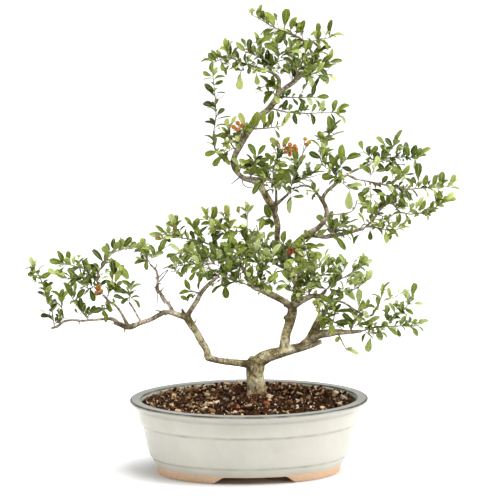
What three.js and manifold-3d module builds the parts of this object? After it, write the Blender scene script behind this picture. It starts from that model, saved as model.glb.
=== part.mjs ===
// Firethorn bonsai in an oval glazed pot. Millimetres, +Z up, the origin on the ground below the middle
// of the plant's own box, the pot's long side along X. Each sub-part is one closed solid.
import * as THREE from "three";
import { mergeVertices } from "three/addons/utils/BufferGeometryUtils.js";
import Module from "manifold-3d";

// Frame. The tables below are front elevations: x to the right of the pot's middle, y away from the
// viewer, and the height h that a point has in the picture. The viewer looks down a little, so what
// stands further back is drawn higher, and stands a little round the pot's corner.
const POT_MIDDLE_X = 10;
const VIEW_TURN = THREE.MathUtils.degToRad(5.4);
const SIGHT_RISE = 0.2;

// Pot.
const LIP_LENGTH = 295;
const LIP_DEPTH = 230;
const POT_HEIGHT = 94;
const LIP_WIDTH = 15;
const FLOOR_UNDER = 9;
const FLOOR_TOP = 18;
const FOOT_WINDOW_TOP = 80;
const FOOT_WINDOW_BOTTOM = 106;
const DRAIN_HOLE = 20;
const DRAIN_SPACING = 110;
const POT_SEGMENTS = 32;

// Drainage screens and soil.
const SEAT_GAP = 0.3;
const SCREEN_SIDE = 30;
const SCREEN_THICK = 1.2;
const SCREEN_OPENING = 9;
const SOIL_EDGE = 90;
const SOIL_MOUND = 11;
const SOIL_GRAIN = 1.2;

// Leaves, shoots and berries.
const LEAF_ASPECT = 0.42;
const LEAF_THICK = 0.7;
const LEAF_ARCH = 0.05;
const LEAF_CLEAR = 1.0;
const LEAF_CLEAR_FLAT = 1.6;
const LEAF_SPACING = 22;
const FOOT_SPACING = 2.2;
const SHOOT_ROOT = 1.3;
const SIDE_SHOOT = 0.9;
const SHOOT_TIP = 0.8;
const END_BEND = 1.1;
const BERRY = 5.7;
const BERRY_STALK = 0.7;

// Wood: [x, y, h, radius] along each limb, from the root up.
const LIMBS = {
  trunk: [
    [10, 0, 58, 7], [10, 0, 80, 11.5], [10, 0, 100, 13.5], [9.5, 0, 106, 12], [7.5, 0, 124, 11.2],
    [8.5, 0, 135, 11.6], [9, 0, 144, 9],
  ],
  trunk_knob: [[8, 0, 138, 7], [1, -1, 146, 3.6]],
  root_front: [[10, 0, 104, 8], [2, -9, 99, 4.5], [-4, -17, 88, 2.5]],
  root_right: [[10, 0, 104, 8], [19, 5, 102, 4.8], [29, 9, 94, 2.5]],
  left_riser: [
    [8, 0, 134, 8], [-1, -1, 137, 5.4], [-11, -2, 138.5, 4.6], [-36, -6, 141.5, 3.9], [-46, -8, 144, 4.3],
    [-51, -9, 146.5, 5], [-53, -9, 155.5, 4.5], [-60, -10, 167, 4.7], [-66, -10, 178.5, 4.5],
    [-74, -10, 191, 5], [-78, -10, 198, 5.2],
  ],
  left_snag: [[-79, -10, 196, 3.4], [-84, -8, 208, 1.4]],
  left_up: [
    [-78, -10, 197, 4], [-73, -9, 206, 3.2], [-66, -4, 217, 3.2], [-59, 2, 229.5, 2.9], [-51, 8, 238.5, 2.6],
    [-39, 15, 249, 1.9],
  ],
  left_up_back: [[-45, 12, 246, 1.9], [-52, 24, 266, 1.3]],
  left_reach: [
    [-78, -10, 197, 4.4], [-86, -12, 199.5, 3.8], [-105, -16, 204, 3.1], [-111, -17, 201, 3.1],
    [-124, -19, 194, 2.9], [-136, -20, 190, 3.1], [-149, -21, 185, 3.7], [-161, -19, 188, 3],
    [-171, -16, 195, 2.5], [-180, -13, 195, 1.8], [-205, -8, 193, 1.5], [-231, -4, 192, 1.6],
    [-241, -4, 185, 1.9], [-248, -4, 183, 1.1],
  ],
  left_peak: [
    [-94, -13, 202, 2.8], [-99, -10, 212, 2.5], [-105, -6, 219, 2.4], [-111, -2, 228, 2.8],
    [-115, 2, 233, 3], [-114, 8, 242, 2.2], [-116, 18, 256, 1.8], [-124, 27, 265, 1.4],
  ],
  left_rise: [
    [-151, -21, 185, 3], [-156, -26, 196, 1.9], [-167, -36, 213, 1.7], [-174, -40, 217.5, 1.6],
    [-182, -42, 226, 1.5],
  ],
  left_middle: [[-134, -20, 191, 1.8], [-140, -14, 200, 1.3], [-145, -6, 209, 1.2], [-150, 1, 216, 1.1]],
  right_sweep: [
    [9, 0, 138, 9.5], [20, -3, 146, 8.6], [27, -5, 149, 8.1], [39, -8, 152, 7.1], [51, -10, 155.5, 6.4],
    [64, -12, 159, 5.8], [79, -14, 163, 4.7], [91, -15, 166, 2.6],
  ],
  lower_right: [
    [66, -12, 160, 5.4], [76, -16, 168, 6.1], [86, -20, 175, 6.1], [99, -24, 177, 5.1],
    [111, -28, 178.5, 3.9],
    [126, -32, 178.5, 2.7], [141, -35, 180, 2.1],
  ],
  lower_stub: [[74, -15, 167, 5], [80, -14, 177, 5.9], [86, -10, 189, 5.6], [90, -5, 198, 4.8]],
  riser: [
    [42, -8, 153, 5.6], [45, -6, 166, 6.3], [46, -4, 175, 6], [50, -1, 187, 6.3], [52, 1, 196, 6.8],
    [54, 2, 204, 6.2], [54, 3, 212, 5.6],
  ],
  riser_knot: [[51, 0, 195, 4.5], [44, -2, 197.5, 2.8]],
  inner_left: [
    [54, 3, 209, 5], [44, -4, 217.5, 4.4], [34, -12, 223, 4.3], [24, -19, 228, 4.3], [14, -25, 233, 4],
    [5, -29, 237, 3.7], [-1, -26, 247, 3.2], [-4, -24, 254, 3], [-8, -20, 260, 2.4], [-11, -15, 268, 1.9],
  ],
  inner_front: [[5, -29, 237, 2.6], [-2, -31, 239, 2.1]],
  inner_right: [
    [54, 3, 210, 5], [61, -4, 215.5, 4.6], [74, -12, 222.5, 3.8], [80, -16, 224.5, 3.2], [89, -20, 225, 2.7],
    [96, -24, 232, 2.1],
  ],
  middle_right: [
    [88, -20, 225, 1.8], [107, -30, 219, 1.5], [119, -36, 215.5, 1.4], [135, -42, 205, 1.3],
    [151, -46, 199, 1.2], [159, -48, 208, 1],
  ],
  leader_foot: [
    [54, 3, 210, 5], [64, 10, 226, 4.4], [60, 18, 238.5, 4.3], [47, 28, 260, 4.1], [40, 30, 274, 4],
    [35, 25, 301, 3.8], [36, 22, 314, 3.8], [32, 18, 330, 3.8],
  ],
  leader: [
    [32, 18, 328, 3.6], [30, 16, 337, 4.6], [24, 12, 347, 4.8], [16, 8, 361, 4.3], [10, 5, 368.5, 3.8],
    [-8, 0, 375.5, 3.2], [-14, -2, 381, 3.1], [-19, -4, 389, 3.2], [-19, -6, 398, 3.7], [-10, -10, 418, 4.3],
    [-5, -10, 427, 4.3], [1, -9, 435, 3.8], [12, -5, 451.5, 3.8], [25, 0, 463, 4], [31, 2, 470.5, 4.2],
    [36, 3, 479.5, 3.9], [37, 4, 490, 3.1], [37, 4, 500, 2.6], [32, 2, 506, 2.2], [24, -3, 510, 1.7],
    [2, -12, 517, 1.6],
  ],
  leader_prong: [[34, 19, 333, 2.6], [34, 12, 347, 1.8], [34, 6, 360, 1.6]],
  leader_spur: [[31, 17, 339, 2.8], [42, 13, 348, 1.9], [49, 8, 354.5, 1.7]],
  leader_twig: [[-8, 0, 375.5, 2], [16, -6, 373.6, 1.4], [32, -10, 371, 1.2]],
  apex_arm: [
    [37, 3, 483, 3.4], [46, 8, 489.5, 3], [55, 13, 496, 3.1], [64, 18, 505, 3.3], [78, 25, 516, 1.9],
  ],
  right_limb: [
    [46, 28, 262, 3.6], [52, 22, 283, 4.2], [60, 14, 292, 4.3], [67, 6, 298.5, 4.3], [76, -2, 305, 4],
    [90, -12, 315, 3.1], [97, -16, 330, 3.1], [95, -17, 339, 2.8], [92, -17, 348, 2.5], [96, -16, 356, 2.3],
    [104, -13, 363.5, 2.4], [117, -7, 375, 2], [124, -4, 380, 1.8], [154, 6, 394, 1.3],
  ],
  right_link: [
    [93, -17, 342, 2.2], [84, -12, 356, 1.7], [76, -6, 363.5, 1.6], [67, 0, 365, 1.4], [59, 6, 362, 1.1],
  ],
  right_low: [
    [78, -4, 304, 3], [92, 2, 300, 2.8], [105, 8, 301, 2.6], [129, 17, 306.5, 2.3], [144, 23, 311, 2.2],
  ],
  right_far: [[123, -5, 379, 1.8], [134, -10, 373, 1.6]],
  bare_fork: [[98, -16, 328, 1.6], [114, -22, 329, 1.2], [129, -27, 333, 1], [135, -30, 347, 0.9]],
  bare_left: [[-112, 0, 229, 1.4], [-110, 5, 222, 1], [-105, 9, 214, 0.8]],
  bare_peak: [[-114, 10, 241, 1.3], [-108, 6, 248, 1], [-101, 3, 258, 0.8]],
  bare_reach: [[-101, -15, 203, 1.5], [-119, -22, 207, 0.9]],
  bare_low: [[-156, -20, 184, 1.5], [-172, -27, 190, 0.8]],
  bare_leader: [[-10, -1, 377, 1.4], [-22, -5, 367, 0.8]],
  bare_leader_low: [[-9, 0, 376, 1.3], [-6, -6, 365, 0.9], [4, -10, 362, 0.8]],
};

// Thorns and short cut spurs: foot [x, y, h] and tip [x, y, h].
const THORNS = [
  [[-68, -10, 190], [-64, -13, 197]],
  [[-212, -7, 192.5], [-212, -7, 187]],
  [[-154, -20, 184], [-156, -18, 178]],
  [[-111, -1, 230], [-104, -4, 238]],
  [[-115, 2, 234], [-121, 0, 237]],
  [[-107, -5, 221], [-110, -6, 229]],
  [[-102, -8, 215], [-97, -10, 220]],
  [[-117, 21, 259], [-115, 16, 268]],
  [[36, -10, 222], [34, -12, 230]],
  [[47, -2, 216], [49, -5, 223]],
  [[63, 8, 224], [71, 12, 229]],
  [[33, 19, 326], [26, 22, 332]],
  [[-14, -8, 410], [-7, -12, 413]],
  [[100, -15, 360], [108, -18, 357]],
  [[58, 14, 498], [60, 20, 507]],
  [[120, 14, 305], [126, 10, 312]],
];

// Leafy sprays. The first shoot grows from the nearest wood and the others from the shoots before them.
// Each shoot is [x, y, h] along it, and each leaf is [x, h, length] at the middle of its blade.
const SPRAYS = {
  left_end: {
    shoots: [[[-244, -4, 186], [-249, -8, 217], [-258, -11, 240], [-262, -12, 249], [-269, -14, 259]]],
    leaves: [[-254, 251, 17], [-248, 212, 19], [-254, 199, 15]],
  },
  left_second: {
    shoots: [[[-231, -4, 192], [-236, 4, 220]]],
    leaves: [[-243, 226, 15]],
  },
  left_third: {
    shoots: [[[-200, -8, 194], [-212, -16, 208], [-221, -23, 222]]],
    leaves: [[-227, 233, 20], [-219, 236, 17], [-210, 227, 16], [-207, 209, 15]],
  },
  left_crown: {
    shoots: [
      [[-182, -42, 226, 1.4], [-190, -42, 245], [-181, -36, 266], [-171, -30, 278], [-158, -26, 284],
        [-137, -20, 284]],
      [[-190, -42, 245], [-206, -36, 259], [-219, -33, 263], [-232, -30, 266]],
      [[-190, -42, 247], [-207, -46, 248], [-233, -56, 247]],
      [[-174, -32, 275], [-158, -42, 262]],
      [[-188, -42, 240], [-200, -30, 234], [-207, -22, 238]],
    ],
    leaves: [[-236, 275, 16], [-241, 268, 16], [-203, 266, 15], [-244, 254, 15], [-220, 253, 15],
      [-189, 276, 19], [-167, 290, 16], [-153, 291, 20], [-170, 263, 22], [-193, 260, 15], [-154, 254, 18],
      [-202, 245, 16], [-196, 226, 17], [-210, 241, 15]],
  },
  left_crown_low: {
    shoots: [
      [[-178, -41, 221], [-174, -46, 230], [-168, -50, 239]],
      [[-177, -42, 224], [-182, -50, 204]],
    ],
    leaves: [[-175, 239, 17], [-166, 233, 15], [-175, 214, 18], [-180, 199, 16], [-190, 206, 16]],
  },
  left_middle: {
    shoots: [[[-150, 1, 216], [-147, 5, 237]]],
    leaves: [[-154, 240, 15], [-141, 235, 16], [-156, 230, 15]],
  },
  left_peak: {
    shoots: [
      [[-124, 27, 265], [-133, 31, 283]],
      [[-126, 28, 268], [-114, 25, 280]],
      [[-130, 30, 276], [-140, 34, 287], [-152, 38, 289]],
      [[-125, 28, 267], [-132, 46, 276]],
    ],
    leaves: [[-135, 284, 18], [-127, 288, 15], [-115, 276, 16], [-136, 267, 16]],
  },
  cloud_under: {
    shoots: [[[-61, 1, 228], [-74, 6, 231]]],
    leaves: [[-77, 239, 15]],
  },
  cloud_back: {
    shoots: [
      [[-52, 24, 266], [-74, 29, 265], [-92, 31, 262]],
      [[-58, 26, 267], [-70, 45, 284]],
    ],
    leaves: [[-89, 270, 15]],
  },
  cloud_tip: {
    shoots: [
      [[-11, -15, 268, 1.7], [-29, -3, 280], [-57, -10, 293], [-82, -16, 298], [-105, -20, 303]],
      [[-60, -11, 293], [-70, -6, 312]],
      [[-82, -16, 298], [-94, -12, 313]],
      [[-22, -8, 275], [-50, -20, 274], [-84, -29, 280]],
      [[-50, -20, 274], [-64, -38, 260]],
    ],
    leaves: [[-117, 303, 15], [-76, 319, 15], [-66, 317, 15], [-76, 272, 16], [-72, 286, 15],
      [-92, 286, 15], [-44, 296, 15], [-60, 302, 15]],
  },
  cloud_crest: {
    shoots: [
      [[-6, -22, 259], [-18, -20, 288], [-37, -23, 316]],
      [[-26, -21, 300], [-53, -26, 323]],
      [[-24, -21, 297], [-25, -30, 325]],
    ],
    leaves: [[-45, 329, 22], [-27, 332, 19], [-20, 317, 16], [-57, 331, 16], [-41, 304, 15]],
  },
  cloud_front: {
    shoots: [
      [[-2, -31, 239, 1.8], [-24, -44, 246], [-48, -56, 259], [-62, -60, 262]],
      [[-26, -45, 247], [-40, -63, 276]],
      [[-12, -37, 242], [-14, -47, 258], [-25, -59, 286]],
    ],
    leaves: [[-26, 263, 20], [-46, 250, 15], [-66, 269, 16], [-44, 284, 15], [-11, 279, 22],
      [-22, 297, 16], [-31, 288, 15]],
  },
  cloud_deep: {
    shoots: [
      [[-39, 15, 249], [-32, 28, 260], [-24, 46, 281]],
      [[-32, 28, 260], [-58, 50, 272]],
      [[-29, 34, 266], [-4, 54, 280]],
      [[-36, 20, 253], [-30, 10, 238]],
    ],
    leaves: [[-30, 244, 17], [-62, 280, 15], [-20, 290, 16], [2, 284, 15]],
  },
  cloud_mast: {
    shoots: [
      [[-4, -24, 255, 1.8], [-3, -19, 296], [-2, -15, 331]],
      [[-3, -22, 268], [13, -6, 284], [21, -2, 296]],
      [[-3, -20, 288], [12, -10, 306]],
    ],
    leaves: [[11, 300, 17], [27, 301, 15]],
  },
  cloud_heart: {
    shoots: [
      [[16, -24, 232], [13, -35, 254], [8, -42, 280]],
      [[13, -35, 254], [29, -47, 274]],
    ],
    leaves: [[10, 288, 17], [2, 268, 16], [23, 278, 16], [35, 283, 17], [21, 259, 15]],
  },
  cloud_skirt: {
    shoots: [
      [[6, -29, 236], [4, -48, 239], [-1, -60, 247]],
      [[5, -38, 237], [24, -50, 242]],
    ],
    leaves: [[2, 252, 16], [20, 235, 17], [30, 248, 16]],
  },
  leader_low: {
    shoots: [[[36, 22, 313], [25, 5, 324]]],
    leaves: [[23, 332, 19], [32, 328, 15]],
  },
  leader_foot: {
    shoots: [
      [[48, 27, 258], [44, 12, 269], [43, -2, 290]],
      [[44, 12, 269], [29, 10, 280]],
    ],
    leaves: [[44, 299, 17], [53, 289, 16], [34, 268, 15]],
  },
  centre_back: {
    shoots: [
      [[50, 26, 256], [34, 44, 264], [14, 57, 275]],
      [[38, 40, 262], [46, 60, 282]],
      [[30, 47, 266], [14, 40, 292]],
    ],
    leaves: [[6, 282, 15], [20, 262, 15], [50, 290, 15]],
  },
  right_cloud_top: {
    shoots: [
      [[67, 6, 298], [70, -8, 287], [76, -22, 270]],
      [[70, -8, 287], [56, -24, 272]],
    ],
    leaves: [[68, 299, 18], [77, 289, 18], [82, 277, 22], [60, 286, 15], [70, 262, 15]],
  },
  right_cloud_middle: {
    shoots: [
      [[74, -12, 223], [78, -26, 241], [84, -38, 262]],
      [[76, -20, 234], [58, -42, 256]],
      [[78, -27, 243], [101, -40, 258]],
    ],
    leaves: [[95, 271, 16], [64, 239, 17], [82, 251, 18], [97, 250, 17], [50, 264, 15], [111, 263, 15]],
  },
  right_cloud_front: {
    shoots: [
      [[60, -3, 215], [56, -20, 228], [50, -38, 241]],
      [[56, -20, 228], [72, -42, 233]],
    ],
    leaves: [[45, 250, 16], [41, 235, 16], [62, 223, 15], [80, 237, 16]],
  },
  right_cloud_back: {
    shoots: [
      [[60, 18, 238], [70, 33, 248], [90, 50, 262]],
      [[70, 33, 248], [62, 57, 268]],
    ],
    leaves: [[98, 268, 15], [84, 266, 15]],
  },
  right_twigs: {
    shoots: [
      [[96, -24, 232, 1.7], [105, -28, 241], [120, -33, 249], [141, -47, 264]],
      [[98, -25, 234], [126, -42, 231], [146, -55, 243]],
      [[106, -29, 242], [109, -12, 262]],
      [[108, -29, 243], [121, -20, 262]],
    ],
    leaves: [[116, 271, 15], [103, 266, 15], [149, 250, 17]],
  },
  right_twig_low: {
    shoots: [
      [[159, -48, 208], [167, -52, 228]],
      [[162, -50, 216], [185, -57, 225]],
    ],
    leaves: [],
  },
  lower_stub: {
    shoots: [
      [[90, -5, 198], [99, -18, 216]],
      [[93, -9, 203], [101, -28, 193]],
      [[90, -5, 198], [84, 16, 216]],
    ],
    leaves: [[94, 190, 18], [103, 184, 17], [89, 213, 16]],
  },
  lower_upright: {
    shoots: [[[99, -24, 180], [106, -29, 196], [108, -33, 216]]],
    leaves: [[98, 220, 20], [115, 221, 19], [116, 204, 18], [116, 191, 19]],
  },
  lower_middle: {
    shoots: [
      [[126, -32, 180], [132, -37, 194], [138, -41, 213]],
      [[128, -34, 186], [147, -38, 191]],
    ],
    leaves: [[126, 226, 18], [137, 224, 18], [144, 210, 18], [123, 197, 16], [141, 200, 17], [156, 195, 16]],
  },
  lower_hanging: {
    shoots: [[[110, -29, 177], [122, -37, 155]]],
    leaves: [[130, 152, 15], [107, 167, 20]],
  },
  lower_far: {
    shoots: [
      [[141, -35, 180, 1.8], [159, -36, 185], [179, -35, 186], [212, -28, 187]],
      [[170, -36, 186], [186, -40, 200], [203, -44, 219]],
      [[144, -35, 181], [153, -42, 173]],
    ],
    leaves: [[197, 227, 15], [205, 233, 17], [212, 226, 15], [184, 209, 15], [150, 163, 19],
      [163, 176, 17], [150, 188, 15]],
  },
  right_crest: {
    shoots: [
      [[111, -10, 370], [108, -14, 381], [120, -20, 397]],
      [[108, -14, 381], [91, -20, 393], [90, -10, 412], [101, -5, 433]],
      [[110, -11, 376], [125, -20, 360]],
    ],
    leaves: [[117, 406, 22], [130, 400, 22], [106, 397, 19], [83, 403, 18], [100, 376, 19], [100, 444, 20],
      [110, 442, 17], [125, 347, 24], [134, 364, 15]],
  },
  right_link: {
    shoots: [[[84, -12, 356], [83, -23, 356]]],
    leaves: [[86, 345, 19]],
  },
  upper_far: {
    shoots: [
      [[154, 6, 394], [170, 9, 400], [212, 12, 401]],
      [[168, 9, 400], [182, 14, 417]],
      [[180, 10, 400], [190, 11, 384], [193, 12, 376]],
      [[158, 7, 396], [143, 24, 409]],
    ],
    leaves: [[165, 421, 16], [175, 420, 15], [187, 427, 20], [195, 412, 17], [156, 409, 15],
      [164, 389, 15], [221, 408, 16], [199, 369, 17]],
  },
  right_far: {
    shoots: [
      [[134, -10, 373, 1.6], [164, -19, 367], [191, -24, 360.5], [220, -26, 362], [249, -27, 363.5]],
      [[148, -14, 370], [156, -27, 386]],
      [[150, -15, 370], [152, -27, 349]],
      [[177, -22, 364], [190, -29, 378]],
      [[180, -22, 363], [189, -28, 349]],
      [[207, -25, 361], [211, -27, 370]],
    ],
    leaves: [[158, 395, 16], [143, 386, 15], [159, 358, 17], [150, 340, 20], [211, 381, 24],
      [220, 372, 15], [231, 371, 15], [240, 374, 18], [253, 372, 15], [184, 383, 16], [195, 385, 15],
      [198, 352, 15], [143, 355, 15]],
  },
  low_tip: {
    shoots: [
      [[144, 23, 311, 2], [155, 28, 321, 1.7], [163, 31, 333], [178, 34, 343], [190, 30, 331], [226, 24, 334],
        [245, 21, 345]],
      [[178, 34, 343], [196, 43, 355]],
      [[148, 25, 314], [180, 20, 308], [190, 17, 311]],
      [[160, 30, 328], [177, 24, 324]],
      [[159, 30, 327], [146, 46, 342]],
    ],
    leaves: [[251, 351, 15], [217, 344, 15], [201, 361, 15], [187, 322, 15], [171, 300, 17],
      [141, 349, 15], [168, 348, 15]],
  },
  low_near: {
    shoots: [
      [[104, 8, 301], [98, -3, 314]],
      [[102, 4, 305], [120, 6, 315]],
      [[103, 6, 303], [114, 28, 320]],
    ],
    leaves: [[91, 321, 17], [102, 325, 16], [92, 306, 15], [115, 291, 19], [107, 314, 15]],
  },
  upper_left: {
    shoots: [
      [[1, 2, 372], [5, -11, 389], [9, -17, 402]],
      [[3, -7, 383], [-12, -20, 388]],
    ],
    leaves: [[3, 411, 16], [-16, 394, 15], [15, 393, 15], [14, 383, 16], [16, 410, 15]],
  },
  upper_middle: {
    shoots: [
      [[34, 6, 360], [30, -6, 384], [40, -14, 410]],
      [[31, -2, 374], [15, -16, 371]],
    ],
    leaves: [[32, 419, 17], [47, 420, 15], [49, 408, 21], [26, 401, 15], [19, 382, 16], [10, 362, 19],
      [41, 390, 15]],
  },
  upper_right: {
    shoots: [
      [[49, 8, 354.5], [58, -1, 380], [60, -4, 393]],
      [[53, 4, 367], [79, 12, 380]],
      [[50, 7, 357], [53, 0, 349]],
    ],
    leaves: [[47, 376, 24], [66, 391, 16], [72, 387, 15], [66, 358, 18], [52, 339, 19], [58, 405, 16]],
  },
  upper_back: {
    shoots: [
      [[16, 8, 361], [20, 30, 373], [26, 47, 388]],
      [[19, 25, 370], [42, 42, 366]],
      [[20, 30, 373], [0, 45, 388]],
    ],
    leaves: [[29, 397, 16], [50, 368, 15], [-7, 394, 15]],
  },
  bend_cluster: {
    shoots: [
      [[-15, -8, 408], [-24, -16, 421], [-26, -22, 435]],
      [[-12, -9, 415], [-5, -20, 438]],
      [[-19, -12, 412], [-35, -8, 403]],
    ],
    leaves: [[-27, 443, 15], [-9, 449, 17], [0, 445, 18], [-15, 424, 15], [-39, 397, 19], [-26, 398, 15]],
  },
  left_whip: {
    shoots: [
      [[-19, -5, 394], [-34, -2, 400], [-44, 1, 417], [-41, 5, 455], [-45, 7, 506]],
    ],
    leaves: [[-51, 506, 15], [-37, 501, 15], [-49, 487, 19], [-50, 467, 16], [-49, 443, 15], [-48, 406, 15]],
  },
  apex_left: {
    shoots: [
      [[2, -12, 517, 1.5], [-12, -17, 522], [-26, -20, 527], [-43, -23, 521]],
      [[-20, -19, 525], [-28, -26, 536]],
      [[-4, -15, 519], [-11, -23, 507]],
      [[0, -13, 518], [9, -27, 508]],
    ],
    leaves: [[-53, 521, 15], [-29, 544, 15], [-11, 497, 22], [10, 500, 15], [16, 510, 15]],
  },
  apex_under: {
    shoots: [
      [[37, 4, 488], [25, -8, 492]],
      [[33, 0, 489], [30, -7, 482]],
    ],
    leaves: [[18, 499, 16], [25, 476, 20], [34, 475, 15]],
  },
  apex_core_left: {
    shoots: [
      [[31, 1, 507], [20, -8, 521], [13, -12, 536], [10, -14, 545]],
      [[18, -9, 526], [-4, -18, 534]],
      [[26, -3, 513], [36, -9, 524], [35, -17, 544]],
      [[36, -9, 524], [52, -18, 536]],
      [[21, -7, 519], [12, 18, 532]],
    ],
    leaves: [[8, 553, 15], [-11, 541, 15], [0, 543, 15], [19, 549, 15], [2, 526, 15], [27, 541, 18],
      [39, 552, 16], [50, 545, 15], [60, 541, 16], [48, 522, 16]],
  },
  apex_core_right: {
    shoots: [
      [[53, 12, 494], [62, 2, 511], [70, -10, 534]],
      [[59, 5, 506], [84, -8, 507]],
      [[54, 10, 498], [54, 34, 514], [56, 43, 527]],
      [[54, 22, 506], [32, 42, 520]],
      [[54, 26, 509], [76, 44, 522]],
    ],
    leaves: [[75, 542, 16], [82, 529, 16], [89, 514, 16], [92, 502, 15], [56, 520, 15], [76, 496, 15],
      [58, 537, 15], [27, 529, 15], [84, 529, 15]],
  },
  crown: {
    shoots: [
      [[78, 25, 516, 1.7], [79, 20, 530], [70, 14, 547], [50, 7, 559], [32, 3, 565], [14, 0, 576],
        [1, -2, 583]],
      [[70, 14, 547], [101, 18, 553]],
      [[78, 19, 532], [88, 16, 536]],
      [[78, 24, 518], [97, 30, 521]],
      [[84, 26, 519], [99, 21, 506]],
    ],
    leaves: [[14, 586, 17], [25, 575, 24], [33, 582, 17], [46, 578, 22], [26, 555, 15], [40, 552, 15],
      [56, 571, 17], [67, 567, 16], [86, 563, 17], [102, 566, 19], [92, 545, 18], [101, 532, 16],
      [86, 498, 15]],
  },
  leader_right_high: {
    shoots: [
      [[35, 3, 478], [53, -3, 477], [83, -9, 477]],
      [[62, -5, 477], [72, -3, 494]],
    ],
    leaves: [[92, 477, 16], [81, 487, 15], [67, 467, 15], [76, 503, 15]],
  },
  leader_right_low: {
    shoots: [[[26, 0, 463], [51, -8, 457.5], [111, -18, 458]]],
    leaves: [[92, 467, 15], [66, 466, 15], [44, 467, 15]],
  },
  leader_left_low: {
    shoots: [[[3, -9, 436], [26, -20, 438], [43, -24, 441]]],
    leaves: [[10, 449, 20], [19, 451, 16], [29, 451, 18], [47, 450, 16]],
  },
};

// Berry bunches: the foot of the common stalk and each berry, [x, y, h].
const BERRIES = {
  bend: {
    foot: [-9, -17, 430],
    fruit: [[-14, -26, 444], [-9, -28, 441], [-19, -27, 439], [-15, -30, 436]],
    colour: 0xd45a1c,
  },
  upper: {
    foot: [40, -14, 408],
    fruit: [[44, -24, 416], [51, -26, 417], [57, -27, 415], [59, -23, 411], [52, -29, 410], [51, -24, 404],
      [46, -28, 408]],
    colour: 0xd45a1c,
  },
  upper_pale: {
    foot: [58, -1, 381],
    fruit: [[70, -8, 424], [75, -10, 420], [72, -5, 417]],
    colour: 0xeba050,
  },
  leader: {
    foot: [44, 16, 268],
    fruit: [[53, -6, 284], [58, -8, 281], [50, -10, 279]],
    colour: 0xb92d14,
  },
  left: {
    foot: [-190, -43, 240],
    fruit: [[-188, -56, 236], [-184, -58, 231], [-190, -58, 229]],
    colour: 0xd45a1c,
  },
};

const wasm = await Module();
wasm.setup();

// A closed geometry as a solid, turned right side out if its faces point in.
function solidOf(geometry) {
  const bare = geometry.index ? geometry.toNonIndexed() : geometry.clone();
  bare.deleteAttribute("normal");
  bare.deleteAttribute("uv");
  const merged = mergeVertices(bare, 1e-4);
  const corners = new Uint32Array(merged.index.array);
  const vertProperties = new Float32Array(merged.attributes.position.array);
  const made = new wasm.Manifold(new wasm.Mesh({ numProp: 3, vertProperties, triVerts: corners }));
  if (made.volume() >= 0) return made;
  for (let i = 0; i < corners.length; i += 3) corners.subarray(i + 1, i + 3).reverse();
  return new wasm.Manifold(new wasm.Mesh({ numProp: 3, vertProperties, triVerts: corners }));
}

const joined = (solids) => wasm.Manifold.union(solids);

// Of a solid cut into scraps, the largest.
const largest = (solid) => solid.decompose().reduce((a, b) => (a.volume() > b.volume() ? a : b));

function meshOf(name, solid, material) {
  const { vertProperties, triVerts } = solid.getMesh();
  const geometry = new THREE.BufferGeometry();
  geometry.setAttribute("position", new THREE.BufferAttribute(new Float32Array(vertProperties), 3));
  geometry.setIndex(new THREE.BufferAttribute(new Uint32Array(triVerts), 1));
  const mesh = new THREE.Mesh(geometry, material);
  mesh.name = name;
  return mesh;
}

const finish = (color, roughness, metalness = 0) =>
  new THREE.MeshStandardMaterial({ color, roughness, metalness, flatShading: true });

// A front elevation point in the part's own frame.
function place([x, y, h]) {
  const point = new THREE.Vector3(x, y, h - SIGHT_RISE * y);
  point.applyAxisAngle(new THREE.Vector3(0, 0, 1), -VIEW_TURN);
  point.x += POT_MIDDLE_X;
  return point;
}

// A limb or shoot: a ring of corners round each point, as far out as its radius, and flat ends. A shoot
// may run out into a leaf, whose rings have four corners like its own.
function limbGeometry(points, radii, sides, leaf) {
  const path = leaf ? [...points, leaf.middle] : points;
  const across = new THREE.Vector3(0.3, 0.9, 0.2);
  const rings = points.map((point, i) => {
    const along = path[Math.min(i + 1, path.length - 1)].clone().sub(point).normalize();
    if (i > 0) along.add(point.clone().sub(points[i - 1]).normalize()).normalize();
    if (along.length() < 0.5) along.copy(point).sub(points[i - 1]).normalize();
    across.addScaledVector(along, -across.dot(along)).normalize();
    const up = new THREE.Vector3().crossVectors(along, across);
    return Array.from({ length: sides }, (_, k) => {
      const turn = (2 * Math.PI * (k + 0.5)) / sides;
      const corner = point.clone().addScaledVector(across, radii[i] * Math.cos(turn));
      return corner.addScaledVector(up, radii[i] * Math.sin(turn));
    });
  });
  if (leaf) {
    const turn = Math.atan2(across.dot(leaf.face), across.dot(leaf.across));
    const first = Math.round(turn / (Math.PI / 2)) + 4;
    for (const [share, half] of BLADE_RINGS) {
      const centre = bladeCentre(leaf, share);
      const corners = [[1, 1], [-1, 1], [-1, -1], [1, -1]].map(([side, over]) =>
        centre.clone().addScaledVector(leaf.across, side * half * leaf.width)
          .addScaledVector(leaf.face, (over * LEAF_THICK) / 2),
      );
      rings.push(corners.map((_, k) => corners[(k + first) % 4]));
    }
  }
  const faces = [];
  const last = (rings.length - 1) * sides;
  for (let i = 0; i < last; i += sides) {
    for (let k = 0; k < sides; k += 1) {
      const next = (k + 1) % sides;
      faces.push(i + k, i + next, i + next + sides, i + k, i + next + sides, i + k + sides);
    }
  }
  for (let k = 1; k < sides - 1; k += 1) faces.push(0, k + 1, k, last, last + k, last + k + 1);
  const geometry = new THREE.BufferGeometry();
  const corners = rings.flat().flatMap((corner) => corner.toArray());
  geometry.setAttribute("position", new THREE.Float32BufferAttribute(corners, 3));
  return geometry.setIndex(faces);
}

const sidesFor = (radius) => (radius > 6 ? 7 : radius > 3.2 ? 5 : radius > 2 ? 4 : 3);

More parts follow.
